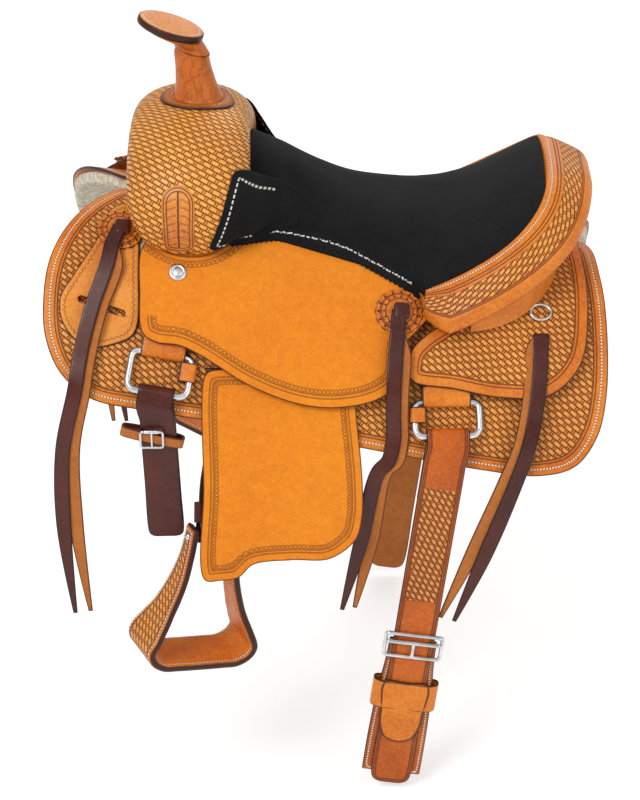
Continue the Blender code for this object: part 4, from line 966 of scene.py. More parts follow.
def path_frame(path, across, closed=False):
    """Directions ahead, across and square to a path."""
    ahead = np.roll(path, -1, 0) - np.roll(path, 1, 0) if closed else np.gradient(path, axis=0)
    ahead = ahead / np.linalg.norm(ahead, axis=1, keepdims=True)
    wide = across - (across * ahead).sum(1, keepdims=True) * ahead
    wide = wide / np.linalg.norm(wide, axis=1, keepdims=True)
    return ahead, wide, np.cross(ahead, wide)


def strap(name, path, across, width, thick, finishes, facing=None, closed=False, step=0.003,
          smooth=True):
    """Flat strap: a section with rounded edges carried along a smooth path.

    width and thick may change along the path. facing is the way that its face looks at the
    path's end. finishes are those of its face and of its back.
    """
    path = np.asarray(path, float)
    count = len(path)
    across = np.broadcast_to(np.asarray(across, float), (count, 3))
    sizes = [np.broadcast_to(np.asarray(v, float), (count,)) for v in (width, thick)]
    line = np.column_stack([path, across, *sizes])
    if closed:
        line = smooth_through(line, 10) if smooth else line
        line = np.concatenate([line, line[:1]])
    elif smooth:
        line = smooth_through(line, 10, closed=False)
    total = lengths(line[:, :3])[-1]
    steps = max(6, int(total / step))
    r = float(sizes[1].min()) * 0.42
    if closed:
        at, close = np.linspace(0, total, steps, endpoint=False), np.ones(steps)
    else:
        at = np.concatenate([[0, r * 0.3], np.linspace(r, total - r, steps),
                             [total - r * 0.3, total]])
        close = np.concatenate([[0, 0.7], np.ones(steps), [0.7, 0]])
    line = resample(line, at)
    p, wide, half, deep = line[:, :3], line[:, 3:6], line[:, 6] / 2, line[:, 7] / 2
    _, wide, normal = path_frame(p, wide, closed)
    if facing is not None and normal[-3] @ np.asarray(facing, float) < 0:
        normal = -normal
    span = np.linspace(-1, 1, 11)
    turn = np.radians([55, 25, 0, -25, -55])
    core = np.concatenate([span, np.ones(5), span[::-1], -np.ones(5)])
    rim = np.concatenate([0 * span, np.cos(turn), 0 * span, -np.cos(turn)])
    rise = np.concatenate([1 + 0 * span, np.sin(turn), -1 - 0 * span, np.sin(turn[::-1])])
    a = core[None] * (half[:, None] - r) + rim[None] * r
    b = rise[None] * (deep * close)[:, None]
    points = p[:, None] + wide[:, None] * a[..., None] + normal[:, None] * b[..., None]
    run = np.broadcast_to(at[:, None], a.shape)
    ends = np.minimum(run, total - run) if not closed else np.full(a.shape, 1.0)
    inset = np.minimum(half[:, None] - np.abs(a), ends)
    maps = {"flat": np.stack([run, a], -1), "edge": np.stack([run, inset], -1)}
    maps = {k: wrapped(v) for k, v in maps.items()}
    if closed:
        last = {k: v[:1].copy() for k, v in maps.items()}
        for v in last.values():
            v[..., 0] = total
        maps = {k: np.concatenate([v, last[k]], 0) for k, v in maps.items()}
    finishes = finishes if isinstance(finishes, (list, tuple)) else [finishes]
    pick = np.zeros((len(at) - (not closed), a.shape[1]), int)
    if len(finishes) > 1:
        pick[:, 16:26] = 1
    return grid_piece(name, points, finishes, maps, ring=closed, tube=True, pick=pick)


def bar(name, path, radius, closed=False, sides=14, step=0.0025, smooth=True, hint=(0, 0, 1)):
    """Round bar: a circle carried along a smooth path, domed at its ends."""
    line = np.asarray(path, float)
    if smooth:
        line = smooth_through(line, 10, closed)
    if closed:
        line = np.concatenate([line, line[:1]])
    total = lengths(line)[-1]
    steps = max(6, int(total / step))
    if closed:
        at, size = np.linspace(0, total, steps, endpoint=False), np.ones(steps)
    else:
        dome = radius * np.array([0, 0.1, 0.4])
        at = np.concatenate([dome, np.linspace(radius, total - radius, steps), total - dome[::-1]])
        size = np.concatenate([[0, 0.5, 0.85], np.ones(steps), [0.85, 0.5, 0]])
    p = resample(line, at)
    _, first, second = path_frame(p, np.broadcast_to(np.asarray(hint, float), p.shape), closed)
    turn = np.linspace(0, 2 * pi, sides, endpoint=False)[None, :, None]
    ring = np.cos(turn) * first[:, None] + np.sin(turn) * second[:, None]
    points = p[:, None] + ring * (radius * size)[:, None, None]
    return grid_piece(name, points, STEEL, ring=closed, tube=True)


def turned_piece(name, centre, axes, radii, rises, finish, count=60, wave=None):
    """Piece turned round an axis: radii and rises from its underside to its top.

    axes are the directions of its face and its height; wave scales the radius round the turn.
    """
    rear, down, outward = (np.asarray(v, float) for v in axes)
    turn = np.linspace(0, 2 * pi, count, endpoint=False)
    scale = np.ones(count) if wave is None else wave(turn)
    radii, rises = np.asarray(radii, float), np.asarray(rises, float)
    reach = scale[:, None] * radii[None]
    points = (centre + reach[..., None] * (np.cos(turn)[:, None, None] * rear
                                           + np.sin(turn)[:, None, None] * down)
              + rises[None, :, None] * outward)
    turns = np.append(turn, 2 * pi)
    reach = np.concatenate([reach, reach[:1]])
    edge = np.stack([turns[:, None] * radii.max() + 0 * reach, radii.max() - reach], -1)
    flat = np.stack([reach * np.cos(turns)[:, None], reach * np.sin(turns)[:, None]], -1)
    return grid_piece(name, points, finish, {"flat": flat, "edge": edge}, ring=True)


# Fork, swell and horn


def level(v, table):
    """Value at a share v of the half width, on a smooth curve through a table."""
    curve = smooth_through(table, 16, closed=False)
    return np.interp(v, curve[:, 0], curve[:, 1])


def swell_levels(v):
    """Top, underside and half length of the swell at a share v of its half width."""
    v = np.abs(v)
    shoulder = level(v, [(0, 0), (0.3, 0.003), (0.55, 0.014), (0.75, 0.034), (0.88, 0.058),
                         (0.96, 0.080), (1, 0.108)])
    y = v * SWELL_HALF_WIDTH
    arch = GULLET_RISE * np.maximum(0, 1 - (y / 0.085) ** 2.5)
    rise = level(v, [(0, 0), (0.7, 0), (0.86, 0.002), (0.94, 0.012), (1, 0.050)])
    half = SWELL_HALF_LENGTH * level(v, [(0, 1.0), (0.5, 1.02), (0.8, 0.98), (0.92, 0.86),
                                         (0.98, 0.62), (1, 0.30)])
    return SWELL_TOP - shoulder, layer_top(SWELL_X, y, SEAT_JOCKEY_OUT) + 3 * GAP + arch + rise, half


def swell_power(v):
    """How square the section is: squared in the middle, a plain oval at the ends."""
    return 0.80 + 0.20 * np.abs(v)


def swell_point(v, turn, inset=0.0, shrink=1.0):
    """Squared oval in a plane square to Y, with the top at a quarter turn."""
    top, low, half = swell_levels(v)
    c, s = np.cos(turn), np.sin(turn)
    power = swell_power(v)
    x = SWELL_X + 0.004 * np.abs(v) + (half * shrink - inset) * signed_power(c, power)
    z = (top + low) / 2 + ((top - low) / 2 * shrink - inset) * signed_power(s, power)
    return np.stack(np.broadcast_arrays(x, v * (SWELL_HALF_WIDTH - inset), z), axis=-1)


def swell_top_z(x, y):
    """Height of the top of the swell at a place in plan."""
    v = np.abs(y) / SWELL_HALF_WIDTH
    top, low, half = swell_levels(v)
    power = swell_power(v)
    c = np.clip(np.abs(x - SWELL_X - 0.004 * v) / half, 0, 1) ** (1 / power)
    return (top + low) / 2 + (top - low) / 2 * (1 - c * c) ** (power / 2)


def make_swell():
    """Leather hood: ovals from end to end, its wall turned in round the opening below."""
    v = np.sin(np.linspace(-pi / 2, pi / 2, 121))
    tip = np.array([0.82, 0.5, 0.0])
    v = np.concatenate([-np.ones(3), v, np.ones(3)])
    shrink = np.concatenate([tip[::-1], np.ones(121), tip])
    closing = np.clip((np.abs(v) - OPENING_SHARE + 0.06) / 0.06, 0, 1)
    gap = radians(33) * (1 - eased(closing)) + radians(1.5)
    share = np.linspace(0, 1, 97)[None]
    outer = (gap - pi / 2)[:, None] * (1 - share) + (3 * pi / 2 - gap)[:, None] * share
    inner = outer[:, ::-3]
    out = swell_point(v[:, None], outer, 0.0, shrink[:, None])
    wall = swell_point(v[:, None] * 0.985, inner, SWELL_LEATHER * 0.9, shrink[:, None] * 0.985)
    points = np.concatenate([out, wall], axis=1)
    crest = swell_levels(v)[0]
    profile = lengths(np.stack([v * SWELL_HALF_WIDTH, crest], 1))
    profile = np.abs(profile - profile[len(v) // 2])
    fall = np.sign(v)[:, None] * (profile[:, None] + crest[:, None] - points[..., 2])
    flat = wrapped(np.stack([points[..., 0], fall], -1))
    charts = {"flat": flat, "edge": flat * 0 + 0.5}
    piece = grid_piece("swell_hood", points, SWELL, charts, tube=True)
    dress(piece, "saddle", "swell_cover")


def swell_face(x, z, side, lift):
    """Outer face of the swell's end at a place seen from the side, by halving on its width."""
    low, high = np.full(x.shape, 0.80), np.full(x.shape, 1.0)
    for _ in range(22):
        v = (low + high) / 2
        top, base, half = swell_levels(v)
        power = swell_power(v)
        c = np.abs((x - SWELL_X - 0.004 * v) / half) ** (1 / power)
        s = np.abs((z - (top + base) / 2) / ((top - base) / 2)) ** (1 / power)
        inside = c * c + s * s < 1
        low, high = np.where(inside, v, low), np.where(inside, high, v)
    return np.stack([x, side * (low * SWELL_HALF_WIDTH + lift), z], axis=-1)


def make_tongue(side, word):
    """Smooth tongue with an arched top and a laced seam, down the end of the swell."""
    top, foot, half = 0.068, 0.003, 0.0205
    turn = np.linspace(pi, 0, 15)
    outline = [(TONGUE_X + half * cos(t), top + half * sin(t)) for t in turn]
    outline += [(TONGUE_X + half * 0.96, (top + foot) / 2), (TONGUE_X + half * 0.86, foot + 0.004),
                (TONGUE_X + half * 0.5, foot), (TONGUE_X - half * 0.5, foot),
                (TONGUE_X - half * 0.86, foot + 0.004), (TONGUE_X - half * 0.96, (top + foot) / 2)]

    def place(x, z, height):
        return swell_face(x, z, side, height - 0.0008)

    spine = [(TONGUE_X, top), (TONGUE_X, foot + 0.014)]
    piece = cut_sheet(f"{word}_swell_tongue", outline, spine, 0.0026, place, TONGUE, step=0.0015)
    dress(piece, "saddle")


def cap_place():
    """Middle of the cap's underside, and its directions along and square to it."""
    up = np.array([sin(CAP_TILT), 0, cos(CAP_TILT)])
    along = np.array([cos(CAP_TILT), 0, -sin(CAP_TILT)])
    return np.array([CAP_X, 0, CAP_Z]) - up * CAP_THICK, along, up


def make_horn_neck():
    """Neck wrapped in leather: circles that tilt as they rise, flared under the cap."""
    under, along, up = cap_place()
    seat = under + along * 0.005 - up * 0.0002
    lean = HORN_NECK_X - HORN_BASE_X
    table = [(HORN_BASE_X, SWELL_TOP - 0.0005, HORN_BASE_RADIUS + 0.0015, 0.0)]
    for share, radius, tilt in ((0.08, HORN_BASE_RADIUS - 0.0012, 0.05), (0.3, 0.0266, 0.1),
                                (0.6, 0.0240, 0.3), (1.0, HORN_NECK_RADIUS, 0.6)):
        table.append((HORN_BASE_X + lean * share, SWELL_TOP + NECK_RISE * share, radius, tilt))
    table += [(HORN_BASE_X + lean * 0.95, SWELL_TOP + NECK_RISE * NECK_SEAM, 0.0230, 0.9),
              (seat[0] + 0.016, seat[2] - 0.012, 0.0262, 1.0), (seat[0], seat[2], 0.0375, 1.0)]
    rings = smooth_through(table, 7, closed=False)
    turn = np.linspace(0, 2 * pi, 56, endpoint=False)
    tilt = rings[:, 3:4] * CAP_TILT
    cord = 1 + 0.012 * np.sin(turn[None] + np.linspace(0, 9, len(rings))[:, None] * 2.2) ** 8
    reach = rings[:, 2:3] * cord
    points = capped(np.stack([rings[:, :1] + reach * np.cos(turn) * np.cos(tilt),
                              reach * np.sin(turn) + 0 * tilt,
                              rings[:, 1:2] - reach * np.cos(turn) * np.sin(tilt)], -1))
    run = lengths(points[:, 0])
    turns = np.append(turn, 2 * pi)
    flat = np.stack(np.broadcast_arrays(turns[None] * 0.024, run[:, None]), -1)
    seam = run[np.argmin(np.abs(rings[:, 1] - SWELL_TOP - NECK_RISE * NECK_SEAM)) + 1]
    edge = np.stack([flat[..., 0], np.abs(flat[..., 1] - seam)], -1)
    piece = grid_piece("horn_neck", points, NECK, {"flat": flat, "edge": edge}, tube=True)
    dress(piece, "saddle", "horn_neck_wrap", "horn_core")


def make_horn_cap():
    """Cap of the horn: an oval turned section with a rounded edge and a dished top."""
    under, along, up = cap_place()
    radii = np.array([0, 0.5, 0.8, 0.93, 0.985, 1.0, 1.0, 0.985, 0.95, 0.85, 0.6, 0.3, 0])
    rises = np.array([0, 0, 0, 0.0004, 0.0016, 0.0035, 0.0080, 0.0096, 0.0106, 0.0108, 0.0098,
                      0.0090, 0.0088])
    across = (0, CAP_WIDTH / CAP_LENGTH, 0)
    cap = turned_piece("horn_cap_leather", under, (along, across, up), radii * CAP_LENGTH / 2,
                       rises, CAP, 72)
    dress(cap, "saddle", "horn_cap")


def make_collar():
    """Leather collar laid on the swell round the foot of the horn."""
    turn = np.linspace(0, 2 * pi, 120, endpoint=False)
    section = np.array([(0.030, -0.001), (0.030, 0.0022), (0.0345, 0.0030), (0.0385, 0.0030),
                        (0.0425, 0.0030), (0.0450, 0.0024), (COLLAR_RADIUS, 0.0012),
                        (0.0455, -0.001)])
    reach = section[None, :, 0] + 0 * turn[:, None]
    x = HORN_BASE_X - 0.001 + reach * np.cos(turn)[:, None] * 1.04
    y = reach * np.sin(turn)[:, None]
    z = swell_top_z(x, y) + section[:, 1]
    turns = np.append(turn, 2 * pi)
    inset = COLLAR_RADIUS - np.append(reach, reach[:1], 0)
    edge = wrapped(np.stack([turns[:, None] * COLLAR_RADIUS + 0 * inset, np.abs(inset)], -1))
    piece = grid_piece("horn_collar", np.stack([x, y, z], -1), COLLAR,
                       {"flat": edge, "edge": edge}, ring=True, tube=True)
    dress(piece, "saddle")


# Seat and cantle


def rim_point(turn, side):
    """Inner edge of the cantle roll: turn 0 at the rear, a quarter turn at the front corner."""
    turn = np.asarray(turn, float)
    c = 1 - np.cos(turn)
    y = RIM_HALF_WIDTH * np.abs(np.sin(turn)) ** RIM_SQUARENESS * (1 - RIM_TUCK * c * c)
    z = RIM_TOP - (RIM_TOP - RIM_FRONT_Z) * c ** RIM_FALL
    return np.stack([RIM_REAR_X - RIM_LENGTH * c, side * y, z], axis=-1)


def rim_line(steps):
    """The whole rim from the off corner to the near corner, evenly spaced."""
    turns = np.linspace(0, pi / 2, 400) ** 2 / (pi / 2)
    half = rim_point(turns, NEAR)
    line = np.concatenate([half[::-1] * (1, -1, 1), half[1:]])
    return resample(line, np.linspace(0, lengths(line)[-1], steps))


def seat_centre_z(x):
    """Height of the seat along its middle, from the fork to the cantle."""
    table = [(SEAT_FRONT_X, 0.100), (-0.050, 0.084), (-0.026, 0.070), (0.000, 0.055), (0.039, 0.036),
             (0.080, 0.026), (0.130, 0.020), (0.170, 0.021), (0.210, 0.029), (0.245, 0.046),
             (0.270, 0.062), (RIM_REAR_X, RIM_TOP)]
    return level(x, table)


def seat_side():
    """Rim from its front corner to the rear, as columns x, y and z."""
    return rim_point(np.linspace(pi / 2, 0, 90), OFF)


def seat_half_width(x):
    """Half width of the seat: a curve through its front edge, then the rim."""
    rim = seat_side()
    front = smooth_through([(SEAT_FRONT_X, 0.112), (-0.060, 0.098), (-0.024, 0.092), (0.040, 0.108),
                            (0.103, 0.138), (0.134, 0.161)], 12, closed=False)
    keep = front[front[:, 0] < 0.130]
    return np.interp(x, np.append(keep[:, 0], rim[:, 0]), np.append(keep[:, 1], rim[:, 1]))


def seat_edge_z(x):
    """Height of the seat's edge: on the seat jockey at first, then on the rim."""
    rim = seat_side()
    front = np.linspace(SEAT_FRONT_X, 0.103, 30)
    low = layer_top(front, seat_half_width(front), SEAT_JOCKEY_OUT) + 2 * GAP + 0.0045
    return np.interp(x, np.append(front, rim[:, 0]), np.append(low, rim[:, 2]))


def make_seat():
    """Suede seat stretched over its padding: its height falls by a power across its width."""
    rim_x = np.sort(rim_line(181)[:91, 0])
    x = np.linspace(SEAT_FRONT_X, rim_x[0], 176, endpoint=False)
    x = np.concatenate([x, rim_x[:-1] - 0.0004])
    x = np.clip(x, None, RIM_REAR_X - 0.0030)
    v = np.sin(np.linspace(-pi / 2, pi / 2, 97))
    half = seat_half_width(x) - 0.0016 - np.where(x < 0.128, 0.0004, 0)
    fullness = np.interp(x, [SEAT_FRONT_X, 0.100, 0.160, RIM_REAR_X], [2.4, 3.0, 2.6, 2.2])
    edge, centre = seat_edge_z(x), seat_centre_z(x)
    top = edge[:, None] + (centre - edge)[:, None] * (1 - np.abs(v)[None] ** fullness[:, None])
    y = half[:, None] * v[None]
    floor = layer_top(x[:, None] + 0 * y, y, SEAT_JOCKEY_OUT) + 3 * GAP
    low = np.minimum(np.maximum(top - SEAT_THICK, floor), top - 0.0012)
    upper = np.stack([x[:, None] + 0 * y, y, top], -1)
    under = np.stack([x[:, None] + 0 * y, y * 0.996, low], -1)[:, ::-1]
    points = capped(np.concatenate([upper, under], axis=1))
    piece = grid_piece("suede_seat", points, SUEDE, tube=True)
    dress(piece, "saddle", "seat_cover", slot="black_suede")


def make_flap(side, word):
    """Lower edge of the suede, on the seat jockey: a zigzag of fine teeth under a stitch row."""
    x = np.arange(FLAP_LINE[0][0], FLAP_LINE[-1][0], 0.0030)
    teeth = 0.0016 * (np.arange(len(x)) % 2)
    lower = np.stack([x, np.interp(x, *zip(*FLAP_LINE)) + teeth], 1)
    back = x[::-1]
    upper = np.stack([back, np.interp(back, *zip(*FLAP_TOP))], 1)
    piece = barrel_leather(f"{word}_seat_flap", np.concatenate([lower, upper]),
                           [(-0.095, 0.023), (0.100, 0.044)], SEAT_JOCKEY_OUT + 2 * GAP, 0.0024,
                           side, SUEDE_FLAP, step=0.0014)
    dress(piece, "saddle", slot="black_suede")


def seat_flank(x, z):
    """How far out the seat's upper face lies at a place seen from the side."""
    edge, centre = seat_edge_z(x), seat_centre_z(x)
    share = np.clip((z - edge) / (centre - edge), 0, 1)
    return (seat_half_width(x) - 0.002) * (1 - share) ** (1 / 2.4)


def make_ear(side, word):
    """Front corner of the suede: a flap from the seat's flank forward on to the swell."""
    outline = [(-0.1345, 0.008), (-0.127, 0.030), (-0.118, 0.056), (-0.111, 0.080), (-0.106, 0.095),
               (-0.102, 0.101), (-0.093, 0.099), (-0.080, 0.088), (-0.066, 0.074), (-0.050, 0.062),
               (-0.034, 0.053), (EAR_REAR_X, 0.040), (EAR_REAR_X, 0.010),
               (-0.070, 0.0035), (-0.105, 0.0035), (-0.127, 0.002)]

    def place(x, z, height):
        ease = eased(np.clip((x - EAR_FRONT_X) / EAR_EASE, 0, 1))
        ahead = np.minimum(x, EAR_FRONT_X)
        on_swell = np.abs(swell_face(ahead, np.clip(z, 0.001, 0.104), side, 0.0006)[..., 1])
        behind = np.maximum(x, SEAT_FRONT_X)
        out = on_swell * (1 - ease) + seat_flank(behind, z) * ease
        low = layer_top(x, out, SEAT_JOCKEY_OUT) + 2 * GAP
        return np.stack([x, side * (out + height), np.maximum(z, low)], axis=-1)

    piece = cut_sheet(f"{word}_seat_ear", outline, [(-0.098, 0.075), (-0.070, 0.035)], 0.0026, place,
                      SUEDE_EAR, step=0.002)
    dress(piece, "saddle", slot="black_suede")


def roll_frame(steps):
    """Rim points with the outward direction, slope, width and thickness of the roll."""
    line = rim_line(steps)
    ahead = np.gradient(line, axis=0)
    plan = np.cross(ahead, (0, 0, 1))
    plan /= np.linalg.norm(plan, axis=1, keepdims=True)
    away = line - (RIM_REAR_X - RIM_LENGTH, 0, 0)
    plan *= np.sign((plan * away).sum(1, keepdims=True))
    share = np.abs(np.linspace(-1, 1, steps))
    sidewise = np.clip((share - 0.12) / 0.38, 0, 1)
    sidewise = eased(sidewise) * 0.5 + sidewise * 0.5
    slope = ROLL_SLOPE_REAR + (ROLL_SLOPE_SIDE - ROLL_SLOPE_REAR) * sidewise
    taper = np.clip((1.05 - share) / 0.16, 0.12, 1) ** 0.6
    width = (ROLL_WIDTH_REAR + (ROLL_WIDTH_SIDE - ROLL_WIDTH_REAR) * sidewise) * taper
    return line, plan, slope, width, ROLL_THICK * (0.35 + 0.65 * taper)


# Section of the roll: shares of its width and of its thickness, and of its crown
ROLL_SHAPE = [(0.0, -0.30, -0.3), (0.010, 0.10, 0.1), (0.12, 0.10, 0.55), (0.25, 0.15, 0.9),
              (0.45, 0.15, 1.0), (0.62, 0.15, 0.95), (0.80, 0.10, 0.7), (0.92, -0.10, 0.1),
              (0.985, -0.40, 0.0), (0.985, -0.75, 0.0), (0.93, -1.02, 0.0), (0.82, -1.08, 0.0),
              (0.50, -0.78, 0.0), (0.10, -0.60, 0.0), (0.02, -0.52, 0.0)]
# Share of those points that lie on its face
ROLL_FACE = 8 / len(ROLL_SHAPE)


def make_cantle():
    """Cantle roll: its section, turned to the slope at each place, carried round the rim."""
    line, plan, slope, w, t = roll_frame(221)
    shape = smooth_through(ROLL_SHAPE, 6)
    out = shape[None, :, 0] * w[:, None]
    rise = shape[None, :, 1] * t[:, None] + shape[None, :, 2] * ROLL_CROWN
    a = out * np.cos(slope)[:, None] + rise * np.sin(slope)[:, None]
    b = rise * np.cos(slope)[:, None] - out * np.sin(slope)[:, None]
    points = line[:, None] + plan[:, None] * (a + 0.0012)[..., None]
    points = capped(points + b[..., None] * np.array([0, 0, 1]))
    along = np.concatenate([[0], lengths(line + plan * w[:, None] * 0.5), [0.9]])
    away = shape[None, :, 0] * ROLL_CHART_WIDTH + 0 * along[:, None]
    top = np.arange(len(shape)) < round(len(shape) * ROLL_FACE)
    away = np.where(top[None], away, ROLL_CHART_MIDDLE)
    edge = wrapped(np.stack([along[:, None] + 0 * away, away], -1))
    share = (shape[:-1, 0] + shape[1:, 0]) / 2
    band = (share > 0.31) & (share < 0.70) & top[:-1]
    pick = np.zeros((len(points) - 1, len(shape)), int)
    pick[:, :-1] = band[None]
    piece = grid_piece("cantle_roll_leather", points, [ROLL, ROLL_BASKET],
                       {"flat": edge, "edge": edge}, tube=True, pick=pick)
    dress(piece, "saddle", "cantle_roll")


# Rigging


def ring_frame(x, top, turn, side):
    """Frame at the middle of a ring's top bar, turned in the plane of the leather."""
    p, rear, down, outward = side_frame(x, top, RING_TOP_LIFT, side)
    return p, rear * cos(turn) + down * sin(turn), down * cos(turn) - rear * sin(turn), outward


def ring_path(ring, half, drop):
    """Ring with straight bars above and below and round corners."""
    p, rear, down, outward = ring
    tilt = (RING_BOTTOM_LIFT - RING_TOP_LIFT) / drop
    shape = []
    for a, b, start in ((-1, 0, 1.0), (1, 0, 1.5), (1, 1, 0.0), (-1, 1, 0.5)):
        corner = RING_CORNER if b == 0 else RING_CORNER * 1.3
        middle = np.array([a * (half - corner), corner if b == 0 else drop - corner])
        for t in np.linspace(start, start + 0.5, 8) * pi:
            shape.append(middle + corner * np.array([cos(t), sin(t)]))
    return [p + rear * a + down * b + outward * b * tilt for a, b in shape]


def make_rigging(side, word):
    """Each ring, the leather folded over its top bar and the tab that holds one side."""
    for end, (x, top, turn, half, drop) in RINGS.items():
        ring = ring_frame(x, top, turn, side)
        p, rear, down, outward = ring
        wire = bar(f"{word}_{end}_ring_wire", ring_path(ring, half, drop), RING_WIRE, closed=True,
                   hint=outward, smooth=False)
        dress(wire, "saddle", f"{word}_{end}_ring", slot="stainless")
        turns = np.linspace(-0.5, 0.5, 9) * pi
        reach = RING_WIRE + 0.0010
        path = [p - down * 0.022 - outward * (reach - 0.0002), p - down * 0.008 - outward * reach]
        path += [p + down * reach * cos(t) + outward * reach * sin(t) for t in turns]
        path += [p - down * 0.008 + outward * reach, p - down * 0.022 + outward * (reach - 0.0002)]
        fold = strap(f"{word}_{end}_rigging_fold", path, rear, 2 * half - 0.020, 0.0018, SMOOTH,
                     smooth=False, step=0.0015, facing=outward)
        dress(fold, "saddle", f"{word}_{end}_rigging")
        inward = -rear if end == "front" else rear
        tilt = (RING_BOTTOM_LIFT - RING_TOP_LIFT) / drop
        low = p - inward * half + (down + outward * tilt) * drop * 0.36
        path = [low + inward * 0.015 - outward * reach, low + inward * 0.004 - outward * reach]
        path += [low - inward * reach * cos(t) + outward * reach * sin(t) for t in turns]
        path += [low + inward * 0.004 + outward * reach]
        path += [low + inward * 0.014 + outward * (reach - 0.0006)]
        tab = strap(f"{word}_{end}_ring_tab", path, down, drop * 0.50, 0.0018, SMOOTH, smooth=False,
                    step=0.0015, facing=outward)
        dress(tab, "saddle")


# Fenders and stirrups


def fender_frame(side):
    """Plane that touches the skirt, with a point at the pivot and its directions."""
    touch, rear, down, outward = side_frame(PIVOT_X, FENDER_TOUCH_DEPTH, SKIRT_OUT + GAP, side)
    start = touch - down * ((FENDER_TOUCH_DEPTH - PIVOT_DEPTH) * 1.10)
    return start, rear, down, outward


def make_fender(side, word):
    """Fender cut out flat and laid on its plane, and the stirrup that hangs beside it."""
    start, rear, down, outward = fender_frame(side)
    lift = STRAP_LEATHER + 2 * GAP

    def place(x, b, height):
        return (start + rear * (x - PIVOT_X)[..., None] + down * b[..., None]
                + outward * (lift + height)[..., None])

    fender = cut_sheet(f"{word}_fender_leather", FENDER_OUTLINE, [(-0.040, 0.045), (-0.045, 0.200)],
                       FENDER_LEATHER, place, FENDER)
    dress(fender, f"{word}_fender", f"{word}_fender", slot="roughout_leather")
    turned = outward * sin(STIRRUP_TURN) - rear * cos(STIRRUP_TURN)
    deep = outward * cos(STIRRUP_TURN) + rear * sin(STIRRUP_TURN)
    bolt = start + rear * (BOLT_X - PIVOT_X) + down * BOLT_DOWN - outward * BOLT_INSET
    make_hanger(side, word, bolt, turned, deep)
    make_bolt(word, bolt, turned, down)
    fall = np.array([0, 0, -1]) + turned[2] * turned
    fall /= np.linalg.norm(fall)
    make_stirrup(word, bolt, turned, fall, np.cross(turned, fall))
    make_keeper(word, bolt - down * 0.030, turned, deep, down)


def make_hanger(side, word, bolt, turned, deep):
    """Stirrup leather: flat on the fender's plane, it eases to its turn and loops the bolt."""
    start, rear, down, outward = fender_frame(side)
    path, wide = [], []
    for b in (0.0, 0.045, 0.086, 0.105, 0.125, 0.145, BOLT_DOWN - 0.045):
        ease = eased(np.clip((b - 0.086) / (BOLT_DOWN - 0.131), 0, 1))
        flat = start + rear * (BOLT_X + 0.012 - PIVOT_X) + down * b + outward * LAY
        path.append(flat * (1 - ease) + (bolt - down * (BOLT_DOWN - b) + deep * LAY * 1.2) * ease)
        wide.append(turned * ease - rear * (1 - ease))
    loop = BOLT_RADIUS + GAP + STRAP_LEATHER / 2
    path += [bolt - down * 0.026 + deep * LAY * 1.2, bolt - down * 0.008 + deep * loop * 0.96]
    path += [bolt + loop * (cos(t) * deep + sin(t) * down) for t in np.linspace(0.1, pi - 0.1, 9)]
    path += [bolt - down * 0.008 - deep * loop * 0.96, bolt - down * 0.026 - deep * LAY * 1.2,
             bolt - down * 0.040 - deep * LAY * 1.2]
    wide += [turned] * (len(path) - len(wide))
    hanger = strap(f"{word}_stirrup_strap", path, wide, STIRRUP_LEATHER_WIDTH, STRAP_LEATHER, DARK,
                   step=0.0025)
    dress(hanger, f"{word}_fender", f"{word}_stirrup_leather", slot="dark_latigo")


def make_bolt(word, bolt, turned, down):
    """Bolt through the top of the stirrup."""
    half = BOLT_LENGTH / 2
    rod = bar(f"{word}_bolt_rod", [bolt - turned * half, bolt, bolt + turned * half], BOLT_RADIUS,
              smooth=False, hint=down, sides=20)
    dress(rod, f"{word}_stirrup", f"{word}_stirrup_bolt", slot="stainless")


def make_keeper(word, middle, turned, deep, down):
    """Band round the two straps over the stirrup: a ring nearly square, from powers of cosines."""
    w, d = STIRRUP_LEATHER_WIDTH / 2 + 0.003, 0.0068
    loop = [middle + turned * w * signed_power(cos(t), 0.45)
            + deep * d * signed_power(sin(t), 0.45)
            for t in np.linspace(0, 2 * pi, 48, endpoint=False)]
    keeper = strap(f"{word}_stirrup_keeper", loop, down, 0.026, 0.0022, DARK, closed=True,
                   smooth=False)
    dress(keeper, f"{word}_fender", slot="dark_latigo")


def make_stirrup(word, bolt, turned, down, deep):
    """Stirrup covered in leather: two branches that widen into the tread."""
    h, a, b = STIRRUP_HEIGHT, STIRRUP_HALF_TOP, STIRRUP_HALF_BOTTOM
    half = [(a, -0.014), (a + 0.0005, 0.020), (a + 0.006, 0.060), (a + 0.020, 0.103),
            (b - 0.008, 0.130), (b, 0.149), (b - 0.005, h - 0.010), (b - 0.020, h - 0.001),
            (b - 0.040, h)]
    shape = smooth_through(half + [(-p, q) for p, q in half[::-1]], 8, closed=False)
    path = bolt + turned * shape[:, :1] + down * shape[:, 1:]
    widths = np.interp(shape[:, 1], [-0.014, 0.03, 0.10, 0.136, h],
                       [BRANCH_TOP_DEPTH, BRANCH_TOP_DEPTH + 0.006, 0.050, TREAD_DEPTH, TREAD_DEPTH])
    body = strap(f"{word}_stirrup_body", path, deep, widths, STIRRUP_THICK, [BRANCH, TREAD],
                 facing=-turned, smooth=False, step=0.002)
    dress(body, f"{word}_stirrup", f"{word}_stirrup")


# Straps that hang from the rings


def ring_bottom(end, side):
    """Middle of the bar at the bottom of a ring, and the direction of the bar."""
    x, top, turn, _, drop = RINGS[end]
    p, rear, down, outward = ring_frame(x, top, turn, side)
    return p + down * drop + outward * (RING_BOTTOM_LIFT - RING_TOP_LIFT), rear


def hang(centre, side, drop, out, follow, lean=0.0):
    """Point on a strap that follows the skirt at first and then hangs."""
    away = SKIRT_SLOPE * min(max(drop, 0.0), follow) + out
    return centre + np.array([-lean * drop, side * away, -drop])


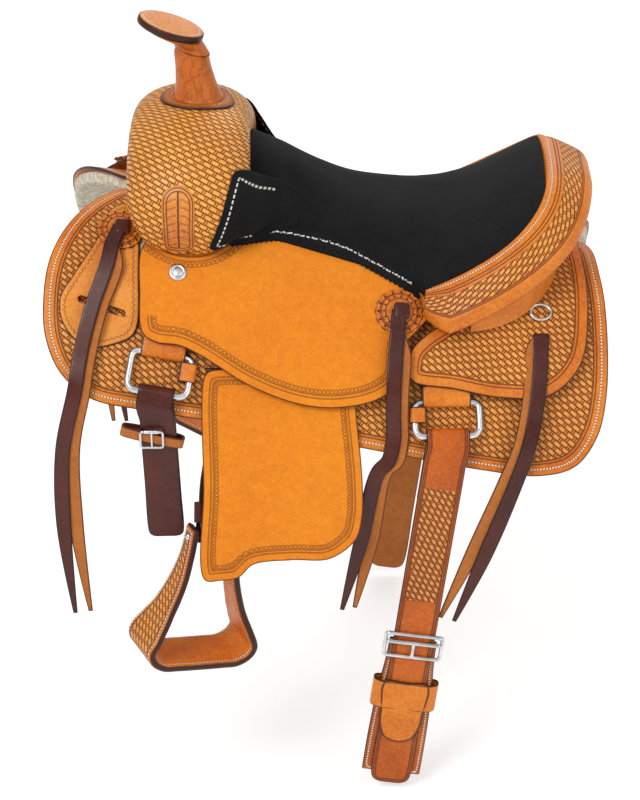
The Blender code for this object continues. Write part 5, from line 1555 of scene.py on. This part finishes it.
def folded_strap(name, centre, across_bar, side, tail, drops, follow, lean, width, tip, finishes):
    """Strap folded over the bottom bar of a ring, with its tail behind it."""
    fold = RING_WIRE + 4 * GAP + STRAP_LEATHER / 2
    out, up = np.array([0, side, 0]), np.array([0, 0, 1])
    out = out - out @ across_bar * across_bar
    up = up - up @ across_bar * across_bar
    path = [hang(centre, side, d, -LAY, follow, lean) for d in (tail, 0.032)]
    path += [centre - out * (fold * 0.85 - SKIRT_SLOPE * 0.010) - up * 0.010]
    path += [centre - fold * (out * cos(t) - up * sin(t)) for t in np.linspace(0.05, 0.95, 9) * pi]
    path += [centre + out * (fold * 0.95 + SKIRT_SLOPE * 0.010) - up * 0.010]
    path += [hang(centre, side, d, LAY, follow, lean) for d in (0.032,) + drops]
    widths = [width] * len(path) + [width * share for share in (0.86, 0.40)]
    path += [hang(centre, side, drops[-1] + d, LAY, follow, lean) for d in (tip * 0.7, tip)]
    turned = np.clip([(centre[2] - p[2] - 0.012) / 0.060 for p in path], 0, 1)[:, None]
    across = across_bar * (1 - turned) + np.array([1, 0, -lean]) * turned
    return strap(name, path, across, widths, STRAP_LEATHER, finishes, facing=(0, side, 0), step=0.002)


def make_latigo(side):
    """Strap folded over the front ring's lower bar; gives back the middle of that bar."""
    centre, across = ring_bottom("front", side)
    node = "near_latigo" if side == NEAR else "off_billet"
    piece = folded_strap(f"{node}_strap", centre, across, side, LATIGO_DROP - 0.020,
                         (0.070, 0.120, LATIGO_DROP - 0.008), 0.020, -0.04, LATIGO_WIDTH, 0.008,
                         [DARK, DARK])
    dress(piece, node, node, slot="dark_latigo")
    return centre


def make_hobble(centre):
    """Hobble strap looped loosely round the latigo, and its roller buckle."""
    middle = hang(centre, NEAR, 0.055, 0.0, 0.020, -0.04) + (-0.008, 0, 0)
    wide, deep = 0.038, LAY + STRAP_LEATHER / 2 + 0.0041
    turns = np.linspace(0, 2 * pi, 72, endpoint=False)
    path = [middle + (wide * cos(t), deep * signed_power(sin(t), 0.4), -0.009 * cos(t))
            for t in turns]
    loop = strap("hobble_loop", path, (0.25, 0, 1), 0.014, 0.0028, [FLESH_SIDE, DARK], closed=True,
                 smooth=False)
    dress(loop, "near_latigo", "hobble_strap", slot="dark_latigo")
    out = NEAR * (deep + 0.0034)
    corners = [(-0.014, 0.009), (-0.012, 0.011), (0.012, 0.011), (0.014, 0.009),
               (0.014, -0.009), (0.012, -0.011), (-0.012, -0.011), (-0.014, -0.009)]
    path = [middle + np.array([a, out, b]) for a, b in corners]
    buckle = bar("hobble_buckle_frame", path, 0.0017, closed=True, hint=(0, 1, 0), smooth=False,
                 step=0.001)
    dress(buckle, "near_latigo", "hobble_buckle", slot="stainless")
    path = [middle + np.array([a, out, 0.011]) for a in (-0.0105, 0.0, 0.0105)]
    roller = bar("hobble_buckle_roller", path, 0.0026, hint=(0, 1, 0), smooth=False)
    dress(roller, "near_latigo", slot="stainless")
    path = [middle + np.array([0.0, out * 1.05, b]) for b in (-0.012, 0.0, 0.0125)]
    tongue = bar("hobble_buckle_tongue", path, 0.0013, hint=(0, 1, 0), smooth=False)
    dress(tongue, "near_latigo", slot="stainless")


def billet_place(centre, side, down, out):
    """Point on the flank billet at a drop below its ring and a distance out of its middle."""
    return hang(centre, side, down, out, 0.036, BILLET_LEAN)


def make_flank(side, word):
    """Flank billet folded over the rear ring; on the near side its buckle and cinch end too."""
    centre, across_bar = ring_bottom("rear", side)
    body = f"{word}_flank"
    piece = folded_strap(f"{word}_flank_strap", centre, across_bar, side, 0.085,
                         (0.042, 0.10, 0.20, 0.30, 0.42, BILLET_LENGTH - 0.018), 0.036, BILLET_LEAN,
                         BILLET_WIDTH, 0.018, [BILLET_FACE, FLESH_SIDE])
    dress(piece, body, f"{word}_flank_billet")
    if side == NEAR:
        make_flank_buckle(centre, side)


def make_flank_buckle(centre, side):
    """Buckle on the billet: a frame bent over its edges, its bar and its tongue."""
    body = "near_flank"
    ahead = np.array([-BILLET_LEAN, 0, -1]) / np.hypot(BILLET_LEAN, 1)
    across = np.array([1, 0, -BILLET_LEAN]) / np.hypot(BILLET_LEAN, 1)
    middle = billet_place(centre, side, BUCKLE_DOWN, LAY)
    out = np.array([0, side, 0])
    w, h = BUCKLE_WIDTH / 2, BUCKLE_HEIGHT / 2
    front = STRAP_LEATHER / 2 + 0.0025
    corners = [(-w + 0.003, -h, front), (w - 0.003, -h, front), (w - 0.0008, -h + 0.0014, front * 0.8),
               (w, -h + 0.005, 0.002), (w, h - 0.005, 0.002), (w - 0.0008, h - 0.0014, front * 0.8),
               (w - 0.003, h, front), (-w + 0.003, h, front), (-w + 0.0008, h - 0.0014, front * 0.8),
               (-w, h - 0.005, 0.002), (-w, -h + 0.005, 0.002),
               (-w + 0.0008, -h + 0.0014, front * 0.8)]
    path = [middle + across * a + ahead * b + out * c for a, b, c in corners]
    buckle = bar("flank_buckle_frame", path, 0.0026, closed=True, hint=(0, 1, 0), smooth=False,
                 step=0.0012)
    dress(buckle, body, "flank_buckle", slot="stainless")
    low = middle - ahead * h * 0.30 + out * (front + 0.0008)
    path = [low + across * a for a in (-w * 0.96, 0, w * 0.96)]
    dress(bar("flank_buckle_bar", path, 0.0030, hint=ahead, smooth=False), body, slot="stainless")
    path = [middle + ahead * b + out * (front + c)
            for b, c in ((-h * 0.3, 0.003), (h * 0.4, 0.0032), (h + 0.001, 0.0024))]
    dress(bar("flank_buckle_tongue", path, 0.0022, hint=across), body, slot="stainless")
    make_cinch_end(centre, side, across, ahead, out)


def make_cinch_end(centre, side, across, ahead, out):
    """End of the flank cinch behind the billet, and the keeper round both with its tongue."""
    back = LAY - STRAP_LEATHER / 2 - GAP
    top = BUCKLE_DOWN - 0.004
    path = [billet_place(centre, side, d, back - CINCH_THICK / 2) for d in
            (top, top + 0.030, top + 0.094, top + 0.160, BILLET_LENGTH - 0.014)]
    cinch = strap("flank_cinch_leather", path, across, [0.062, 0.064, 0.074, CINCH_WIDTH, CINCH_WIDTH],
                  CINCH_THICK, [CINCH, FLESH_SIDE], facing=out)
    dress(cinch, "near_flank", "flank_cinch_end")
    middle = billet_place(centre, side, KEEPER_DOWN, back) + ahead * KEEPER_LENGTH * 0.225
    w = CINCH_WIDTH / 2 + 0.0015
    half = BILLET_WIDTH / 2 + 0.002
    low, high = -CINCH_THICK - GAP - 0.0015, STRAP_LEATHER + 2 * GAP + 0.0015
    section = [(-w, low), (-w, 0.0), (-half - 0.003, high * 0.86), (-half, high), (0, high),
               (half, high), (half + 0.003, high * 0.86), (w, 0.0), (w, low), (0, low)]
    loop = smooth_through([middle + across * a + out * c for a, c in section], 6)
    keeper = strap("flank_keeper_loop", loop, ahead, KEEPER_LENGTH * 0.45, 0.0028, SMOOTH, closed=True,
                   smooth=False)
    dress(keeper, "near_flank", "flank_keeper")
    outline = [(-half, 0.0), (-half, 0.045), (-half * 0.92, 0.070), (-half * 0.62, 0.088),
               (0.0, 0.0945), (half * 0.62, 0.088), (half * 0.92, 0.070), (half, 0.045),
               (half, 0.0), (0.0, -0.001)]
    foot = billet_place(centre, side, KEEPER_DOWN, back)

    def place(a, b, height):
        return (foot + across * a[..., None] + ahead * b[..., None]
                + out * (height + STRAP_LEATHER + 2 * GAP)[..., None])

    tongue = cut_sheet("flank_keeper_tongue", outline, [(0, 0.02), (0, 0.070)], 0.0030, place, KEEPER)
    dress(tongue, "near_flank")


# Strings, rosettes and screws


def make_rosette(word, node, where, lift, side):
    """Two rounds of leather, the smaller on the larger, scalloped by the sine of their turn."""
    p, rear, down, outward = side_frame(*where, lift, side)
    axes = (rear, down, outward)

    def scallops(turn):
        return 0.925 + 0.08 * np.abs(np.sin(turn * ROSETTE_SCALLOPS / 2)) ** 0.7

    r = ROSETTE_RADIUS
    lower = turned_piece(f"{word}_{node}_round", p, axes,
                         [0, r * 0.99, r, r * 0.985, r * 0.96, r * 0.7, 0],
                         [0, 0, 0.0010, 0.0019, 0.0023, 0.0024, 0.0024], ROSETTE_LOW, 180, scallops)
    dress(lower, "saddle", f"{word}_{node}")
    s = ROSETTE_TOP_RADIUS
    upper = turned_piece(f"{word}_{node}_top", p + outward * 0.0025, axes,
                         [0, s * 0.99, s, s * 0.98, s * 0.95, s * 0.6, 0],
                         [0, 0, 0.0010, 0.0018, 0.0022, 0.0024, 0.0025], ROSETTE_TOP, 180, scallops)
    dress(upper, "saddle")


def make_screw(side, word):
    """Round screw in its cup washer, turned from radii and rises."""
    p, rear, down, outward = side_frame(*JOCKEY_SCREW, SEAT_JOCKEY_OUT + GAP, side)
    r = SCREW_RADIUS
    radii = np.array([0, 1, 1.0, 0.93, 0.72, 0.60, 0.57, 0.50, 0.30, 0]) * r
    rises = [0, 0, 0.0006, 0.0020, 0.0030, 0.0024, 0.0020, 0.0030, 0.0036, 0.0037]
    piece = turned_piece(f"{word}_screw_and_cup", p, (rear, down, outward), radii, rises, SCREW, 48)
    dress(piece, "saddle", f"{word}_jockey_screw", slot="stainless")


def string_route(start, reach, route, lift, side, shift, stand, cut):
    """Points of one strand: from its knot, over the leathers and then hanging free."""
    on_side, free = route
    p, rear, down, outward = side_frame(*start, lift(start[1]), side)
    heading = rear * (on_side[0][0] - start[0]) + down * (on_side[0][1] - start[1]) * 1.4
    heading /= np.linalg.norm(heading)
    path = [p + heading * reach * k + outward * stand for k in (0.0, 0.5, 1.0)]
    path += [at_depth(x + shift, d, lift(d) + stand, side) for x, d in on_side]
    last = path[-1]
    for x, drop in free:
        path.append(np.array([x + shift * (1 + drop * 3), last[1] + side * (0.004 + drop * 0.02),
                              last[2] - drop + cut]))
    return path


def make_strings(side, word):
    """Pairs of saddle strings, one grain side out and one flesh side out, and their knots."""
    over = ROSETTE_THICK + 4 * GAP + STRING_LEATHER / 2

    def front(depth):
        return plate_lift(depth) + PLATE_LEATHER + over

    def middle(depth):
        t = np.clip((depth - 0.150) / 0.050, 0, 1)
        low = SKIRT_OUT + 0.0016 + STRING_LEATHER / 2
        return SEAT_JOCKEY_OUT + over - (SEAT_JOCKEY_OUT + over - low) * t

    def rear(depth):
        return rear_jockey_lift(depth) + JOCKEY_LEATHER - 3.5 * GAP + STRING_LEATHER / 2

    below_dee = (STRING_DEE[0], STRING_DEE[1] + DEE_RADIUS + 0.006)
    for place, start, reach, route, lift, beside in (
            ("front", FRONT_ROSETTE, ROSETTE_RADIUS, FRONT_STRING, front, 0.010),
            ("middle", MIDDLE_ROSETTE, ROSETTE_RADIUS, MIDDLE_STRING, middle, 0.010),
            ("rear", below_dee, 0.004, REAR_STRING, rear, -0.010)):
        for shift, stand, cut, finish, node in (
                (0.0, STRING_LEATHER + 2 * GAP, 0.0, [DARK, FLESH_SIDE], (f"{word}_{place}_strings",)),
                (beside, 0.0, 0.004, [FLESH_SIDE, DARK], ())):
            path = string_route(start, reach, route, lift, side, shift, stand, cut)
            widths = np.full(len(path), STRING_WIDTH)
            widths[-1] *= 0.30
            label = "outer" if node else "inner"
            piece = strap(f"{word}_{place}_string_{label}", path, (1, 0, 0), widths,
                          STRING_LEATHER, finish, facing=(0, side, 0), step=0.004)
            dress(piece, "saddle", *node, slot="dark_latigo")
        if place != "rear":
            make_knot(f"{word}_{place}_knot", start, lift(start[1]), side)


def make_knot(name, start, lift, side):
    """End of the string folded on the rosette: a soft square pad, from powers of cosines."""
    p, rear, down, outward = side_frame(*start, lift, side)
    u = np.linspace(-pi / 2, pi / 2, 25)
    w = np.linspace(0, 2 * pi, 64, endpoint=False)
    round_edge = signed_power(np.cos(u), 0.5)[None]
    a = signed_power(np.cos(w), 0.45)[:, None] * round_edge * 0.0100 + 0.003
    b = signed_power(np.sin(w), 0.45)[:, None] * round_edge * 0.0112 + 0.001
    c = np.sin(u)[None] * 0.0032 + 0 * a + 0.0026
    points = p + rear * a[..., None] + down * b[..., None] + outward * c[..., None]
    flat = np.stack([a, b], -1)
    flat = np.concatenate([flat, flat[:1]])
    charts = {"flat": flat, "edge": flat * 0 + 0.05}
    piece = grid_piece(name, points, DARK, charts, ring=True)
    dress(piece, "saddle", slot="dark_latigo")


def make_dee(side, word):
    """Oval ring of wire that holds the rear strings."""
    p, along, down, outward = side_frame(*STRING_DEE, REAR_JOCKEY_OUT + 0.0020, side)
    path = [p + along * DEE_RADIUS * cos(t) + down * DEE_RADIUS * 0.8 * sin(t)
            for t in np.linspace(0, 2 * pi, 40, endpoint=False)]
    piece = bar(f"{word}_dee_wire", path, 0.0019, closed=True, hint=outward, smooth=False,
                step=0.0015)
    dress(piece, "saddle", f"{word}_string_dee", slot="stainless")


# Each side


def slot_through(plate, side, word):
    """Slot with round ends cut through the keeper plate."""
    ends = [np.array([x, float(fall_at(d))]) for x, d in SLOT_ENDS]
    along = (ends[1] - ends[0]) / np.linalg.norm(ends[1] - ends[0])
    square = np.array([-along[1], along[0]])
    outline = []
    for middle, start in ((ends[1], -pi / 2), (ends[0], pi / 2)):
        for t in np.linspace(start, start + pi, 14):
            outline.append(middle + SLOT_HALF_HEIGHT * (cos(t) * along + sin(t) * square))
    outline = np.array(outline)
    points = np.stack([on_barrel(outline[:, 0], outline[:, 1], lift, side)
                       for lift in (-0.004, 0.03)], 1)
    caps = points.mean(axis=0)
    points = np.concatenate([points[:, :1] * 0 + caps[0], points, points[:, :1] * 0 + caps[1]], 1)
    cutter = grid_piece(f"{word}_slot", points, PLATE, ring=True)
    cut = plate.modifiers.new("slot", "BOOLEAN")
    cut.operation = "DIFFERENCE"
    cut.solver = "EXACT"
    cut.object = cutter
    bpy.context.view_layer.update()
    depsgraph = bpy.context.evaluated_depsgraph_get()
    made = bpy.data.meshes.new_from_object(plate.evaluated_get(depsgraph))
    plate.modifiers.clear()
    plate.data = made
    bpy.data.objects.remove(cutter, do_unlink=True)


def tufts(flat, height):
    """Relief of the wool's underside: two layers of waves bent by one another."""
    u, v = flat[..., 0], flat[..., 1]
    lumps = np.sin(u * 410 + 2.1 * np.sin(v * 260)) * np.sin(v * 390 + 1.7 * np.sin(u * 330))
    fine = np.sin(u * 930 + 3 * np.sin(v * 610)) * np.sin(v * 870 + 2 * np.sin(u * 710))
    return -0.0010 * (lumps + 0.6 * fine + 1.6) * (height < 0.5)


def make_panels(side, word):
    """Skirt, fleece, jockeys and keeper plate, each cut from its outline on the barrel."""
    skirt = barrel_leather(f"{word}_skirt_leather", SKIRT_OUTLINE, SKIRT_MIDLINE, 0.0,
                           SKIRT_LEATHER, side, SKIRT)
    dress(skirt, "saddle", f"{word}_skirt")
    middle = np.mean(SKIRT_OUTLINE, axis=0)
    outline = middle + (np.array(SKIRT_OUTLINE) - middle) * (0.993, 0.985)
    outline[:, 1] = np.maximum(outline[:, 1], 0.0012)
    fleece = barrel_leather(f"{word}_fleece_pile", outline, SKIRT_MIDLINE, -GAP - FLEECE, FLEECE,
                            side, WOOL, relief=tufts)
    dress(fleece, "saddle", f"{word}_fleece", slot="fleece")
    jockey = barrel_leather(f"{word}_rear_jockey_leather", REAR_JOCKEY_OUTLINE,
                            [(0.165, 0.112), (0.292, 0.068)], rear_jockey_lift, JOCKEY_LEATHER,
                            side, JOCKEY)
    dress(jockey, "saddle", f"{word}_rear_jockey")
    seat_jockey = barrel_leather(f"{word}_seat_jockey_leather", SEAT_JOCKEY_OUTLINE,
                                 [(-0.170, 0.080), (0.070, 0.095)], SEAT_JOCKEY_IN,
                                 JOCKEY_LEATHER, side, ROUGHOUT)
    dress(seat_jockey, "saddle", f"{word}_seat_jockey", slot="roughout_leather")
    plate = barrel_leather(f"{word}_keeper_plate", PLATE_OUTLINE,
                           [(-0.247, 0.050), (-0.278, 0.098)], plate_lift, PLATE_LEATHER, side,
                           PLATE, step=0.0018)
    slot_through(plate, side, word)
    dress(plate, "saddle", f"{word}_front_plate")


def make_side(side, word):
    """Everything that a side has twice, from the skirt out to the straps."""
    make_panels(side, word)
    make_rigging(side, word)
    make_fender(side, word)
    for node, where, lift in (("front_rosette", FRONT_ROSETTE, REAR_JOCKEY_IN + PLATE_LEATHER),
                              ("middle_rosette", MIDDLE_ROSETTE, SEAT_JOCKEY_OUT)):
        make_rosette(word, node, where, lift + 0.0003, side)
    make_screw(side, word)
    make_strings(side, word)
    make_dee(side, word)
    centre = make_latigo(side)
    if side == NEAR:
        make_hobble(centre)
    make_flank(side, word)


# Floor, light and camera


# Name, place, width and power of each lamp, and where they all point
LAMPS = [("key", (-1.6, -2.6, 2.6), 1.6, 74), ("fill", (2.6, -2.2, 1.4), 2.6, 26),
         ("back", (0.6, 2.8, 2.4), 2.6, 36)]
LAMP_TARGET = Vector((0, 0, -0.1))
SKY_STRENGTH = 0.56
FLOOR_REACH = 30.0


def make_floor():
    """Level white floor under the object."""
    mesh = bpy.data.meshes.new("floor")
    corners = [(-1, -1), (1, -1), (1, 1), (-1, 1)]
    mesh.from_pydata([(x * FLOOR_REACH, y * FLOOR_REACH, FLOOR_Z) for x, y in corners], [],
                     [(0, 1, 2, 3)])
    mesh.materials.append(FLOOR)
    floor = bpy.data.objects.new("floor", mesh)
    bpy.context.scene.collection.objects.link(floor)


def make_light():
    """Even white sky, and three lamps that point at the middle of the object."""
    world = bpy.data.worlds.new("studio")
    world.use_nodes = True
    world.node_tree.nodes["Background"].inputs["Color"].default_value = (1, 1, 1, 1)
    world.node_tree.nodes["Background"].inputs["Strength"].default_value = SKY_STRENGTH
    bpy.context.scene.world = world
    for name, at, size, energy in LAMPS:
        lamp = bpy.data.lights.new(name, "AREA")
        lamp.size = size
        lamp.energy = energy
        holder = bpy.data.objects.new(name, lamp)
        holder.location = at
        holder.rotation_euler = (LAMP_TARGET - Vector(at)).to_track_quat("-Z", "Y").to_euler()
        bpy.context.scene.collection.objects.link(holder)


def make_camera():
    """Camera at its distance from the target, turned about it and raised."""
    level = cos(CAMERA_RISE)
    back = Vector((sin(CAMERA_TURN) * level, -cos(CAMERA_TURN) * level, sin(CAMERA_RISE)))
    data = bpy.data.cameras.new("camera")
    data.sensor_fit = "HORIZONTAL"
    data.sensor_width = 36
    data.lens = CAMERA_LENS
    data.clip_end = 100
    camera = bpy.data.objects.new("camera", data)
    camera.location = CAMERA_TARGET + back * CAMERA_DISTANCE
    camera.rotation_euler = (-back).to_track_quat("-Z", "Y").to_euler()
    bpy.context.scene.collection.objects.link(camera)
    bpy.context.scene.camera = camera
    bpy.context.scene.view_settings.view_transform = "Standard"


def finish_nodes():
    """Better materials for the CAD nodes that stay in sight."""
    for name in ("tree_bar_near", "tree_bar_off", "tree_fork", "tree_cantle"):
        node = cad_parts[name]
        for place in node.material_slots:
            place.material = RAWHIDE
    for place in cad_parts["cantle_back"].material_slots:
        place.material = BACK


make_floor()
make_light()
make_camera()
finish_nodes()
make_swell()
for side, word in SIDES:
    make_tongue(side, word)
make_horn_neck()
make_horn_cap()
make_collar()
make_seat()
for side, word in SIDES:
    make_ear(side, word)
    make_flap(side, word)
make_cantle()
for side, word in SIDES:
    make_side(side, word)
